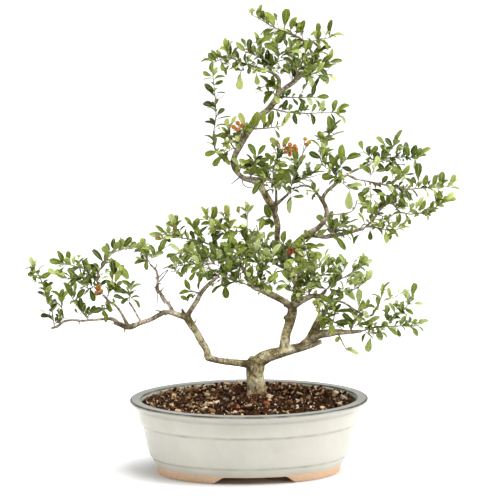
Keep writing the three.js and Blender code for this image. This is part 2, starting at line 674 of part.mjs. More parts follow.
// All the wood as one solid, each limb stouter and longer by a margin where one is asked for.
function woodSolid(margin) {
  const limbs = Object.values(LIMBS).map((rows) => {
    const points = rows.map(place);
    const tip = points.at(-1);
    tip.addScaledVector(tip.clone().sub(points.at(-2)).normalize(), margin);
    const radii = rows.map((row) => row[3] + margin);
    return solidOf(limbGeometry(points, radii, sidesFor(Math.max(...radii) - margin)));
  });
  const thorns = THORNS.map(([foot, tip]) =>
    solidOf(limbGeometry([place(foot), place(tip)], [1.2 + margin, 0.35 + margin], 3)),
  );
  return joined([...limbs, ...thorns]);
}

// An oval has the same inset all round, so a radius along the length gives the radius across.
function ovalFromRound(geometry) {
  const trim = (LIP_LENGTH - LIP_DEPTH) / 2;
  const straight = 90;
  const position = geometry.attributes.position;
  for (let i = 0; i < position.count; i += 1) {
    const radius = Math.hypot(position.getX(i), position.getY(i));
    const squeeze = radius > straight ? (radius - trim) / radius : (straight - trim) / straight;
    position.setY(i, position.getY(i) * squeeze);
  }
  return geometry;
}

function turned(profile) {
  const points = profile.map(([radius, height]) => new THREE.Vector2(radius, height));
  return ovalFromRound(new THREE.LatheGeometry(points, POT_SEGMENTS).rotateX(Math.PI / 2));
}

const drainPlaces = [-DRAIN_SPACING / 2, DRAIN_SPACING / 2];

function potSolid() {
  const lip = LIP_LENGTH / 2;
  const foot = lip - 34;
  const outside = [
    [0, FLOOR_UNDER], [foot - 14, FLOOR_UNDER], [foot - 14, 0], [foot, 0], [lip - 31, 11],
    [lip - 26.5, 19], [lip - 26, 22.5], [lip - 23.5, 25.5], [lip - 20.5, 39.5], [lip - 17.4, 58.5],
    [lip - 15, 61.5], [lip - 12, 73], [lip - 11, 84], [lip - 2, 85.5], [lip, 88], [lip, 91.5],
    [lip - 2, POT_HEIGHT],
  ];
  const inside = [
    [lip - LIP_WIDTH, POT_HEIGHT], [lip - LIP_WIDTH - 1.5, 91.5], [lip - 22, 52], [lip - 31, 26],
    [lip - 42, FLOOR_TOP], [0, FLOOR_TOP],
  ];
  const window = new THREE.Shape([
    new THREE.Vector2(-FOOT_WINDOW_BOTTOM / 2, -1), new THREE.Vector2(FOOT_WINDOW_BOTTOM / 2, -1),
    new THREE.Vector2(FOOT_WINDOW_TOP / 2, FLOOR_UNDER), new THREE.Vector2(-FOOT_WINDOW_TOP / 2, FLOOR_UNDER),
  ]);
  const windowCut = new THREE.ExtrudeGeometry(window, { depth: LIP_DEPTH, bevelEnabled: false });
  windowCut.rotateX(Math.PI / 2).translate(0, LIP_DEPTH / 2, 0);
  let solid = solidOf(turned([...outside, ...inside])).subtract(solidOf(windowCut));
  for (const x of drainPlaces) {
    const drain = new THREE.CylinderGeometry(DRAIN_HOLE / 2, DRAIN_HOLE / 2, 3 * FLOOR_TOP, 16);
    solid = solid.subtract(solidOf(drain.rotateX(Math.PI / 2).translate(x, 0, FLOOR_TOP)));
  }
  return solid;
}

function screenSolid() {
  let solid = solidOf(new THREE.BoxGeometry(SCREEN_SIDE, SCREEN_SIDE, SCREEN_THICK));
  for (const x of [-1, 1]) {
    for (const y of [-1, 1]) {
      const opening = new THREE.BoxGeometry(SCREEN_OPENING, SCREEN_OPENING, 3 * SCREEN_THICK);
      opening.translate((x * SCREEN_SIDE) / 5, (y * SCREEN_SIDE) / 5, 0);
      solid = solid.subtract(solidOf(opening));
    }
  }
  return solid;
}

function soilSolid(wood) {
  const lip = LIP_LENGTH / 2 - SEAT_GAP;
  const edge = lip - LIP_WIDTH - 1.7;
  const floor = FLOOR_TOP + SEAT_GAP;
  const rings = [1, 0.86, 0.68, 0.48, 0.26, 0].map((share) => [edge * share, SOIL_EDGE]);
  const wall = [[0, floor], [lip - 42, floor], [lip - 31, 26 + SEAT_GAP], [lip - 22, 52]];
  const geometry = turned([...wall, ...rings]);
  const position = geometry.attributes.position;
  for (let i = 0; i < position.count; i += 1) {
    const [x, y, z] = [position.getX(i), position.getY(i), position.getZ(i)];
    const reach = Math.hypot(x / edge, y / (edge - (LIP_LENGTH - LIP_DEPTH) / 2));
    const inner = Math.max(0, 1 - reach * reach);
    const grain = Math.sin(x * 0.31 + y * 0.17) * Math.sin(y * 0.37 - x * 0.11);
    if (z > SOIL_EDGE - 1) position.setZ(i, z + SOIL_MOUND * inner + SOIL_GRAIN * Math.sqrt(inner) * grain);
  }
  geometry.translate(POT_MIDDLE_X, 0, 0);
  let solid = solidOf(geometry).subtract(wood);
  for (const x of drainPlaces) {
    const side = SCREEN_SIDE + 2;
    const recess = new THREE.BoxGeometry(side, side, 2 * (SCREEN_THICK + 2 * SEAT_GAP));
    solid = solid.subtract(solidOf(recess.translate(POT_MIDDLE_X + x, 0, floor)));
  }
  return largest(solid);
}

// The blade: pointed at its foot, widest past its middle and blunt at its tip, arched along its length.
// Each ring is a share of its length and half its width there, as a share of the whole width.
const BLADE_RINGS = [[0.52, 0.5], [1, 0.18]];

function bladeCentre({ foot, along, face, length }, share) {
  const lift = LEAF_ARCH * (1 - 4 * (share - 0.5) ** 2);
  return foot.clone().addScaledVector(along, share * length).addScaledVector(face, lift * length);
}

// A blade on its own. Each face leaves the foot to one triangle, so that few corners are added where it
// enters its shoot.
function bladeGeometry(leaf) {
  const [[share, half], [tip, tipHalf]] = BLADE_RINGS;
  const outline = [[0, 0], [share, -half], [tip, -tipHalf], [tip, tipHalf], [share, half]];
  const corners = [0.5, -0.5].flatMap((over) =>
    outline.flatMap(([along, side]) =>
      bladeCentre(leaf, along).addScaledVector(leaf.across, side * leaf.width)
        .addScaledVector(leaf.face, over * LEAF_THICK).toArray(),
    ),
  );
  const faces = [[0, 1, 4], [1, 2, 4], [2, 3, 4]];
  const under = faces.map(([a, b, c]) => [a + 5, c + 5, b + 5]);
  const around = outline.map((_, a) => [a, a + 5, ((a + 1) % 5) + 5, a, ((a + 1) % 5) + 5, (a + 1) % 5]);
  const geometry = new THREE.BufferGeometry();
  geometry.setAttribute("position", new THREE.Float32BufferAttribute(corners, 3));
  return geometry.setIndex([...faces, ...under, ...around].flat());
}

// Draws from 0 to 1, the same each time for the same seed.
function drawsFrom(seed) {
  let state = (Math.imul(seed + 1, 2654435761) + 12345) >>> 0;
  return () => {
    state = (Math.imul(state, 1664525) + 1013904223) >>> 0;
    return state / 4294967296;
  };
}

// The nearest point to a place on a set of stretches, each a { from, to } pair.
function nearestOn(stretches, target) {
  const line = new THREE.Line3();
  let best = null;
  for (const { from, to, radius, owner } of stretches) {
    const point = line.set(from, to).closestPointToPoint(target, true, new THREE.Vector3());
    const distance = point.distanceTo(target);
    if (!best || distance < best.distance) best = { point, distance, radius, owner };
  }
  return best;
}

// The place on a spray's shoots, nearest to where a leaf is to be, from which no leaf grows yet.
function freeFoot(spray, target, leaves) {
  const taken = leaves.filter((leaf) => leaf.owner === spray.index);
  let best = null;
  for (const stem of spray.stems) {
    const reach = lengthOf(stem.stretch);
    for (let distance = reach; distance > FOOT_SPACING; distance -= 1) {
      const { point, along } = pointAlong(stem.stretch, distance);
      const away = point.distanceTo(target);
      if (best && away >= best.away) continue;
      if (taken.some(({ foot }) => foot.distanceTo(point) < FOOT_SPACING)) continue;
      const bent = target.clone().sub(point).angleTo(along);
      if (distance < reach || bent < END_BEND) best = { point, away, ends: distance === reach ? stem : null };
    }
  }
  return best;
}

const lengthOf = (stretch) => stretch.reduce((sum, { from, to }) => sum + from.distanceTo(to), 0);

const stretchesOf = (points, radius, owner) =>
  points.slice(1).map((to, i) => ({ from: points[i], to, radius: radius[i], owner }));

const TOP = new THREE.Vector3(0, 0, 1);
const VIEWER = new THREE.Vector3(0, -1, 0).applyAxisAngle(TOP, -VIEW_TURN);

// A leaf with its foot at a point, its tip along a direction and its upper side towards a light.
function leafAt({ foot, direction, light, roll, length, width, owner, ends }) {
  const along = direction.clone().normalize();
  const face = light.clone().addScaledVector(along, -light.dot(along));
  if (face.length() < 0.05) face.set(0.2, -0.9, 0.1).addScaledVector(along, -face.dot(along));
  face.normalize().applyAxisAngle(along, roll);
  const across = new THREE.Vector3().crossVectors(face, along);
  const middle = foot.clone().addScaledVector(along, length / 2);
  return { foot, along, across, face, middle, length, width, owner, ends };
}

// Places on a blade that stand for it when it is kept clear of other things: share along, share across.
const BLADE_PLACES = [
  [0.16, 0], [0.34, 0], [0.38, -0.42], [0.38, 0.42], [0.58, 0], [0.62, -0.5], [0.62, 0.5], [0.8, 0],
  [0.86, -0.34], [0.86, 0.34], [0.98, 0],
];

const bladePoints = ({ foot, along, across, length, width }) =>
  BLADE_PLACES.map(([share, side]) => ({
    share,
    point: foot.clone().addScaledVector(along, share * length)
      .addScaledVector(across, side * width),
  }));

function touchesBlade(point, leaf) {
  const out = point.clone().sub(leaf.middle);
  const a = out.dot(leaf.along) / (leaf.length / 2 + LEAF_CLEAR);
  const b = out.dot(leaf.across) / (leaf.width / 2 + LEAF_CLEAR);
  const c = out.dot(leaf.face) / (LEAF_THICK / 2 + LEAF_CLEAR_FLAT);
  return a * a + b * b + c * c < 1;
}

function isClear(leaf, leaves, stretches) {
  leaf.points = bladePoints(leaf);
  for (const other of leaves) {
    if (other.middle.distanceTo(leaf.middle) > (other.length + leaf.length) / 2 + LEAF_CLEAR) continue;
    const shared = other.owner === leaf.owner ? 0.2 : 0;
    if (leaf.points.some(({ point, share }) => share > shared && touchesBlade(point, other))) return false;
    if (other.points.some(({ point, share }) => share > shared && touchesBlade(point, leaf))) return false;
  }
  const line = new THREE.Line3();
  const near = new THREE.Vector3();
  for (const { from, to, radius, owner } of stretches) {
    const shared = owner === leaf.owner ? 0.3 : 0;
    line.set(from, to);
    line.closestPointToPoint(leaf.middle, true, near);
    if (near.distanceTo(leaf.middle) > leaf.length / 2 + radius + LEAF_CLEAR) continue;
    for (const { point, share } of leaf.points) {
      if (share <= shared) continue;
      line.closestPointToPoint(point, true, near);
      if (near.distanceTo(point) < radius + LEAF_CLEAR) return false;
    }
  }
  return true;
}

// Grows the first of a leaf's bent forms that is clear of all that has grown.
function growWhereClear(forms, leaves, stretches) {
  const clear = forms.find((leaf) => isClear(leaf, leaves, stretches));
  if (clear) leaves.push(clear);
}

// A bunch hangs on the nearest wood or shoot: a common stalk, parted into one for each berry.
function growBunches(carriers) {
  return Object.entries(BERRIES).map(([name, { foot, fruit, colour }]) => {
    const carrier = nearestOn(carriers, place(foot));
    const berries = fruit.map(place);
    const middle = berries.reduce((sum, berry) => sum.add(berry), new THREE.Vector3());
    const parting = middle.divideScalar(berries.length).lerp(carrier.point, 0.4);
    const stalks = [[carrier.point, parting], ...berries.map((berry) => [parting, berry])];
    return { name, colour, berries, stalks, owner: carrier.owner };
  });
}

// Grows every spray: its shoots, then the leaves that stand out, then those spaced along each shoot.
function growSprays() {
  const wood = Object.values(LIMBS).flatMap((rows) =>
    stretchesOf(rows.map(place), rows.map((row) => row[3]), "wood"),
  );
  const stretches = [...wood];
  const leaves = [];
  const sprays = Object.entries(SPRAYS).map(([name, { shoots, leaves: marks }], index) => {
    const own = [];
    const stems = shoots.map((rows) => {
      const points = rows.map(place);
      const carrier = nearestOn(own.length ? own : wood, points[0]);
      points[0] = carrier.point;
      const thick = rows[0][3] ?? (own.length ? SIDE_SHOOT : SHOOT_ROOT);
      const radii = points.map((_, i) => thick + ((SHOOT_TIP - thick) * i) / (points.length - 1));
      radii[0] = Math.min(thick, 0.4 * carrier.radius);
      const stretch = stretchesOf(points, radii, index);
      own.push(...stretch);
      return { points, radii, stretch };
    });
    stretches.push(...own);
    return { name, index, stems, own, marks };
  });
  const bunches = growBunches(stretches);
  for (const { berries, stalks } of bunches) {
    const deep = new THREE.Vector3(0, 1, 0);
    for (const ends of stalks) stretches.push(...stretchesOf(ends, [BERRY_STALK], "bunch"));
    for (const berry of berries) {
      const ends = [berry, berry.clone().add(deep)];
      stretches.push(...stretchesOf(ends, [BERRY / 2], "bunch"));
    }
  }

  for (const spray of sprays) {
    const draw = drawsFrom(spray.index);
    for (const [x, h, length] of spray.marks) {
      const flat = place([x, 0, h]);
      const sight = new THREE.Vector3(0, 1, -SIGHT_RISE).applyAxisAngle(TOP, -VIEW_TURN);
      const behind = nearestDepth(spray.own, flat, sight);
      const middle = flat.addScaledVector(sight, behind + 8 * (draw() - 0.5));
      const { point, ends } = freeFoot(spray, middle, leaves);
      const direction = middle.clone().sub(point);
      const leaf = {
        foot: point,
        ends,
        direction,
        light: TOP.clone().multiplyScalar(0.6).addScaledVector(VIEWER, 0.8),
        length: Math.max(length, direction.length() + length / 2),
        width: length * LEAF_ASPECT,
        owner: spray.index,
      };
      const roll = 1.3 * (draw() - 0.5);
      const turned = [0, 0.5, -0.5, 1, -1].map((bend) => leafAt({ ...leaf, roll: roll + bend }));
      growWhereClear(turned, leaves, stretches);
    }
  }
  for (const spray of sprays) {
    spray.stems.forEach((stem, order) => {
      const draw = drawsFrom(1000 + 20 * spray.index + order);
      const reach = lengthOf(stem.stretch);
      for (let distance = reach; distance > 4; distance -= LEAF_SPACING) {
        const ends = distance === reach ? stem : null;
        const turn = 2 * Math.PI * draw();
        const open = ends ? 0.35 : 0.75 + 0.4 * draw();
        const length = 14 + 5 * draw();
        const roll = 1.2 * (draw() - 0.5);
        const { point, along } = pointAlong(stem.stretch, distance);
        const near = ends ? FOOT_SPACING : LEAF_SPACING;
        const taken = ({ foot, owner }) => owner === spray.index && foot.distanceTo(point) < near;
        if (leaves.some(taken)) continue;
        const light = TOP.clone().multiplyScalar(0.8).addScaledVector(along, 0.5);
        light.addScaledVector(VIEWER, 0.2);
        const bent = [0, 1, 2, 3, 4, 5].map((bend) => {
          const side = new THREE.Vector3().crossVectors(along, TOP);
          if (side.length() < 0.2) side.set(1, 0, 0);
          side.normalize().applyAxisAngle(along, turn + bend * 1.05);
          const direction = along.clone().multiplyScalar(Math.cos(open));
          direction.addScaledVector(side, Math.sin(open));
          direction.z += 0.25;
          const width = length * LEAF_ASPECT;
          return leafAt({ foot: point, direction, light, roll, length, width, owner: spray.index, ends });
        });
        growWhereClear(bent, leaves, stretches);
      }
    });
  }
  return { sprays, leaves, bunches };
}

// How far behind the front plane the spray's nearest shoot lies, along the line of sight.
function nearestDepth(stretches, flat, sight) {
  let best = null;
  for (const { from, to } of stretches) {
    for (let share = 0; share <= 1; share += 0.25) {
      const point = from.clone().lerp(to, share).sub(flat);
      const depth = point.dot(sight) / sight.lengthSq();
      const distance = point.addScaledVector(sight, -depth).length();
      if (!best || distance < best.distance) best = { depth, distance };
    }
  }
  return best.depth;
}

function pointAlong(stretch, distance) {
  let left = Math.max(0, distance);
  for (const { from, to } of stretch) {
    const span = from.distanceTo(to);
    const along = to.clone().sub(from).normalize();
    if (left <= span || to === stretch.at(-1).to) {
      return { point: from.clone().addScaledVector(along, Math.min(left, span)), along };
    }
    left -= span;
  }
  return null;
}

function spraySolid(spray, leaves, grown) {
  const stems = spray.stems.map((stem) =>
    solidOf(limbGeometry(stem.points, stem.radii, 4, leaves.find(({ ends }) => ends === stem))),
  );
  const blades = leaves.filter(({ owner, ends }) => owner === spray.index && !ends);
  return largest(joined([...stems, ...blades.map((leaf) => solidOf(bladeGeometry(leaf)))]).subtract(grown));
}

function bunchSolid({ berries, stalks, owner }, sprays, grown) {
  const solids = stalks.map((ends) => solidOf(limbGeometry(ends, [BERRY_STALK, BERRY_STALK], 3)));
  for (const { x, y, z } of berries) {
    solids.push(solidOf(new THREE.IcosahedronGeometry(BERRY / 2).translate(x, y, z)));
  }
  if (owner === "wood") return largest(joined(solids).subtract(grown));
  const shoots = sprays[owner].stems.map(({ points, radii }) =>
    solidOf(limbGeometry(points, radii.map((radius) => radius + 1.5 * SEAT_GAP), 4)),
  );
  return largest(joined(solids).subtract(joined(shoots)));
}

const bark = finish(0x9c8f72, 0.8);
const foliage = [0x5d8534, 0x6f9440, 0x4d7530].map((colour) => finish(colour, 0.5));

const bonsai = new THREE.Group();
const wood = woodSolid(0);
const grown = woodSolid(SEAT_GAP / Math.cos(Math.PI / 6));

const pot = new THREE.Group();
pot.position.x = POT_MIDDLE_X;
pot.add(meshOf("pot", potSolid(), finish(0xd9dccf, 0.25)));
drainPlaces.forEach((x, i) => {
  const screen = meshOf(["drain_screen_left", "drain_screen_right"][i], screenSolid(), finish(0x30302c, 0.6));
  screen.position.set(x, 0, FLOOR_TOP + SEAT_GAP + SCREEN_THICK / 2);
  pot.add(screen);
});
bonsai.add(pot);
bonsai.add(meshOf("soil", soilSolid(grown), finish(0x4a3324, 0.95)));
bonsai.add(meshOf("trunk_and_branches", wood, bark));

const { sprays, leaves, bunches } = growSprays();
sprays.forEach((spray) => {
  const material = foliage[spray.index % foliage.length];
  bonsai.add(meshOf(`spray_${spray.name}`, spraySolid(spray, leaves, grown), material));
});
bunches.forEach((bunch) => {
  bonsai.add(meshOf(`berries_${bunch.name}`, bunchSolid(bunch, sprays, grown), finish(bunch.colour, 0.35)));
});

export default bonsai;
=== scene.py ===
"""Firethorn bonsai in a glazed oval pot. Sizes in the tables are millimetres; meshes are in metres."""

import math

import bpy
import numpy as np
from mathutils import Matrix, Vector, kdtree, noise


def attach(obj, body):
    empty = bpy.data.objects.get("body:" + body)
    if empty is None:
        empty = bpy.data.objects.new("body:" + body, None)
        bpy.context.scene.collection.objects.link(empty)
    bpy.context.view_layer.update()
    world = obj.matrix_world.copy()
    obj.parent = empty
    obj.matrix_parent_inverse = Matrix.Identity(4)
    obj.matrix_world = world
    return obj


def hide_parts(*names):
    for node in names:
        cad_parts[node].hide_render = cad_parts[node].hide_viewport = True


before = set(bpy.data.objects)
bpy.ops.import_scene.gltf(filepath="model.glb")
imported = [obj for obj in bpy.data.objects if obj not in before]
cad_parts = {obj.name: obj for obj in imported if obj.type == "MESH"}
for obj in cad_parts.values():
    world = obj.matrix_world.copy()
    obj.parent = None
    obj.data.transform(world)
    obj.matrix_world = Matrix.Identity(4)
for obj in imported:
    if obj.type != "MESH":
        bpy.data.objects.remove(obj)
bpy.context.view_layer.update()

MM = 0.001
VIEW_TURN = math.radians(5.4)
SIGHT_RISE = 0.2
CAMERA_AIM = [1.25, 0, 283]
CAMERA_DISTANCE = 12
CAMERA_LENS = 691.2
CAMERA_SENSOR = 36
POT_MIDDLE_X = 10

# The oval pot and its soil.
LIP_LENGTH = 300
LIP_DEPTH = 230
POT_HEIGHT = 94
LIP_WIDTH = 14
FOOT_WINDOW_TOP = 80
FOOT_WINDOW_BOTTOM = 106
DRAIN_HOLE = 20
DRAIN_SPACING = 110
FLOOR_TOP = 18
FLOOR_UNDER = 9
SEAT_GAP = 0.3
SOIL_EDGE = 90
SOIL_MOUND = 11

LEAF_ASPECT = 0.42
PATTERN_LENGTH = 16
BLADE_THICK = 0.34
# Large leaves that grow by rule: how far apart along a shoot, and the shortest and longest.
LARGE_APART = 22
LARGE_SHORTEST = 14
LARGE_LONGEST = 19
FEET_APART = 2.2
# How far leaves keep from others, beside and over: large ones, and small ones, which may touch.
LARGE_GAPS = (1.0, 1.6)
FINE_GAPS = (-0.7, -0.1)
BERRY = 5.7
# Seeds of the random draws.
SOIL_SEED = 41
WOOD_SEED = 12
BLADE_SEED = 5
FRUIT_SEED = 8

# The tables give places as the tree is seen from the front: across, depth away from the viewer and
# height, then a radius where one is needed.
LIMBS = {
    "trunk": [
        [10, 0, 58, 7], [10, 0, 80, 11.5], [10, 0, 100, 13.5], [9.5, 0, 106, 12], [7.5, 0, 124, 11.2],
        [8.5, 0, 135, 11.6], [9, 0, 144, 9],
    ],
    "trunk_knob": [[8, 0, 138, 7], [1, -1, 146, 3.6]],
    "root_front": [[10, 0, 104, 8], [2, -9, 99, 4.5], [-4, -17, 88, 2.5]],
    "root_right": [[10, 0, 104, 8], [19, 5, 102, 4.8], [29, 9, 94, 2.5]],
    "left_riser": [
        [8, 0, 134, 8], [-1, -1, 137, 5.4], [-11, -2, 138.5, 4.6], [-36, -6, 141.5, 3.9],
        [-46, -8, 144, 4.3],
        [-51, -9, 146.5, 5], [-53, -9, 155.5, 4.5], [-60, -10, 167, 4.7], [-66, -10, 178.5, 4.5],
        [-74, -10, 191, 5], [-78, -10, 198, 5.2],
    ],
    "left_snag": [[-79, -10, 196, 3.4], [-84, -8, 208, 1.4]],
    "left_up": [
        [-78, -10, 197, 4], [-73, -9, 206, 3.2], [-66, -4, 217, 3.2], [-59, 2, 229.5, 2.9],
        [-51, 8, 238.5, 2.6],
        [-39, 15, 249, 1.9],
    ],
    "left_up_back": [[-45, 12, 246, 1.9], [-52, 24, 266, 1.3]],
    "left_reach": [
        [-78, -10, 197, 4.4], [-86, -12, 199.5, 3.8], [-105, -16, 204, 3.1], [-111, -17, 201, 3.1],
        [-124, -19, 194, 2.9], [-136, -20, 190, 3.1], [-149, -21, 185, 3.7], [-161, -19, 188, 3],
        [-171, -16, 195, 2.5], [-180, -13, 195, 1.8], [-205, -8, 193, 1.5], [-231, -4, 192, 1.6],
        [-241, -4, 185, 1.9], [-248, -4, 183, 1.1],
    ],
    "left_peak": [
        [-94, -13, 202, 2.8], [-99, -10, 212, 2.5], [-105, -6, 219, 2.4], [-111, -2, 228, 2.8],
        [-115, 2, 233, 3], [-114, 8, 242, 2.2], [-116, 18, 256, 1.8], [-124, 27, 265, 1.4],
    ],
    "left_rise": [
        [-151, -21, 185, 3], [-156, -26, 196, 1.9], [-167, -36, 213, 1.7], [-174, -40, 217.5, 1.6],
        [-182, -42, 226, 1.5],
    ],
    "left_middle": [[-134, -20, 191, 1.8], [-140, -14, 200, 1.3], [-145, -6, 209, 1.2],
    [-150, 1, 216, 1.1]],
    "right_sweep": [
        [9, 0, 138, 9.5], [20, -3, 146, 8.6], [27, -5, 149, 8.1], [39, -8, 152, 7.1], [51, -10, 155.5, 6.4],
        [64, -12, 159, 5.8], [79, -14, 163, 4.7], [91, -15, 166, 2.6],
    ],
    "lower_right": [
        [66, -12, 160, 5.4], [76, -16, 168, 6.1], [86, -20, 175, 6.1], [99, -24, 177, 5.1],
        [111, -28, 178.5, 3.9],
        [126, -32, 178.5, 2.7], [141, -35, 180, 2.1],
    ],
    "lower_stub": [[74, -15, 167, 5], [80, -14, 177, 5.9], [86, -10, 189, 5.6], [90, -5, 198, 4.8]],
    "riser": [
        [42, -8, 153, 5.6], [45, -6, 166, 6.3], [46, -4, 175, 6], [50, -1, 187, 6.3], [52, 1, 196, 6.8],
        [54, 2, 204, 6.2], [54, 3, 212, 5.6],
    ],
    "riser_knot": [[51, 0, 195, 4.5], [44, -2, 197.5, 2.8]],
    "inner_left": [
        [54, 3, 209, 5], [44, -4, 217.5, 4.4], [34, -12, 223, 4.3], [24, -19, 228, 4.3], [14, -25, 233, 4],
        [5, -29, 237, 3.7], [-1, -26, 247, 3.2], [-4, -24, 254, 3], [-8, -20, 260, 2.4],
        [-11, -15, 268, 1.9],
    ],
    "inner_front": [[5, -29, 237, 2.6], [-2, -31, 239, 2.1]],
    "inner_right": [
        [54, 3, 210, 5], [61, -4, 215.5, 4.6], [74, -12, 222.5, 3.8], [80, -16, 224.5, 3.2],
        [89, -20, 225, 2.7],
        [96, -24, 232, 2.1],
    ],
    "middle_right": [
        [88, -20, 225, 1.8], [107, -30, 219, 1.5], [119, -36, 215.5, 1.4], [135, -42, 205, 1.3],
        [151, -46, 199, 1.2], [159, -48, 208, 1],
    ],
    "leader_foot": [
        [54, 3, 210, 5], [64, 10, 226, 4.4], [60, 18, 238.5, 4.3], [47, 28, 260, 4.1], [40, 30, 274, 4],
        [35, 25, 301, 3.8], [36, 22, 314, 3.8], [32, 18, 330, 3.8],
    ],
    "leader": [
        [32, 18, 328, 3.6], [30, 16, 337, 4.6], [24, 12, 347, 4.8], [16, 8, 361, 4.3], [10, 5, 368.5, 3.8],
        [-8, 0, 375.5, 3.2], [-14, -2, 381, 3.1], [-19, -4, 389, 3.2], [-19, -6, 398, 3.7],
        [-10, -10, 418, 4.3],
        [-5, -10, 427, 4.3], [1, -9, 435, 3.8], [12, -5, 451.5, 3.8], [25, 0, 463, 4], [31, 2, 470.5, 4.2],
        [36, 3, 479.5, 3.9], [37, 4, 490, 3.1], [37, 4, 500, 2.6], [32, 2, 506, 2.2], [24, -3, 510, 1.7],
        [2, -12, 517, 1.6],
    ],
    "leader_prong": [[34, 19, 333, 2.6], [34, 12, 347, 1.8], [34, 6, 360, 1.6]],
    "leader_spur": [[31, 17, 339, 2.8], [42, 13, 348, 1.9], [49, 8, 354.5, 1.7]],
    "leader_twig": [[-8, 0, 375.5, 2], [16, -6, 373.6, 1.4], [32, -10, 371, 1.2]],
    "apex_arm": [[37, 3, 483, 3.4], [46, 8, 489.5, 3], [55, 13, 496, 3.1], [64, 18, 505, 3.3],
    [78, 25, 516, 1.9]],
    "right_limb": [
        [46, 28, 262, 3.6], [52, 22, 283, 4.2], [60, 14, 292, 4.3], [67, 6, 298.5, 4.3], [76, -2, 305, 4],
        [90, -12, 315, 3.1], [97, -16, 330, 3.1], [95, -17, 339, 2.8], [92, -17, 348, 2.5],
        [96, -16, 356, 2.3],
        [104, -13, 363.5, 2.4], [117, -7, 375, 2], [124, -4, 380, 1.8], [154, 6, 394, 1.3],
    ],
    "right_link": [
        [93, -17, 342, 2.2], [84, -12, 356, 1.7], [76, -6, 363.5, 1.6], [67, 0, 365, 1.4],
        [59, 6, 362, 1.1],
    ],
    "right_low": [
        [78, -4, 304, 3], [92, 2, 300, 2.8], [105, 8, 301, 2.6], [129, 17, 306.5, 2.3], [144, 23, 311, 2.2],
    ],
    "right_far": [[123, -5, 379, 1.8], [134, -10, 373, 1.6]],
    "bare_fork": [[98, -16, 328, 1.6], [114, -22, 329, 1.2], [129, -27, 333, 1], [135, -30, 347, 0.9]],
    "bare_left": [[-112, 0, 229, 1.4], [-110, 5, 222, 1], [-105, 9, 214, 0.8]],
    "bare_peak": [[-114, 10, 241, 1.3], [-108, 6, 248, 1], [-101, 3, 258, 0.8]],
    "bare_reach": [[-101, -15, 203, 1.5], [-119, -22, 207, 0.9]],
    "bare_low": [[-156, -20, 184, 1.5], [-172, -27, 190, 0.8]],
    "bare_leader": [[-10, -1, 377, 1.4], [-22, -5, 367, 0.8]],
    "bare_leader_low": [[-9, 0, 376, 1.3], [-6, -6, 365, 0.9], [4, -10, 362, 0.8]],
}

THORNS = [
    [[-68, -10, 190], [-64, -13, 197]],
    [[-212, -7, 192.5], [-212, -7, 187]],
    [[-154, -20, 184], [-156, -18, 178]],
    [[-111, -1, 230], [-104, -4, 238]],
    [[-115, 2, 234], [-121, 0, 237]],
    [[-107, -5, 221], [-110, -6, 229]],
    [[-102, -8, 215], [-97, -10, 220]],
    [[-117, 21, 259], [-115, 16, 268]],
    [[36, -10, 222], [34, -12, 230]],
    [[47, -2, 216], [49, -5, 223]],
    [[63, 8, 224], [71, 12, 229]],
    [[33, 19, 326], [26, 22, 332]],
    [[-14, -8, 410], [-7, -12, 413]],
    [[100, -15, 360], [108, -18, 357]],
    [[58, 14, 498], [60, 20, 507]],
    [[120, 14, 305], [126, 10, 312]],
]

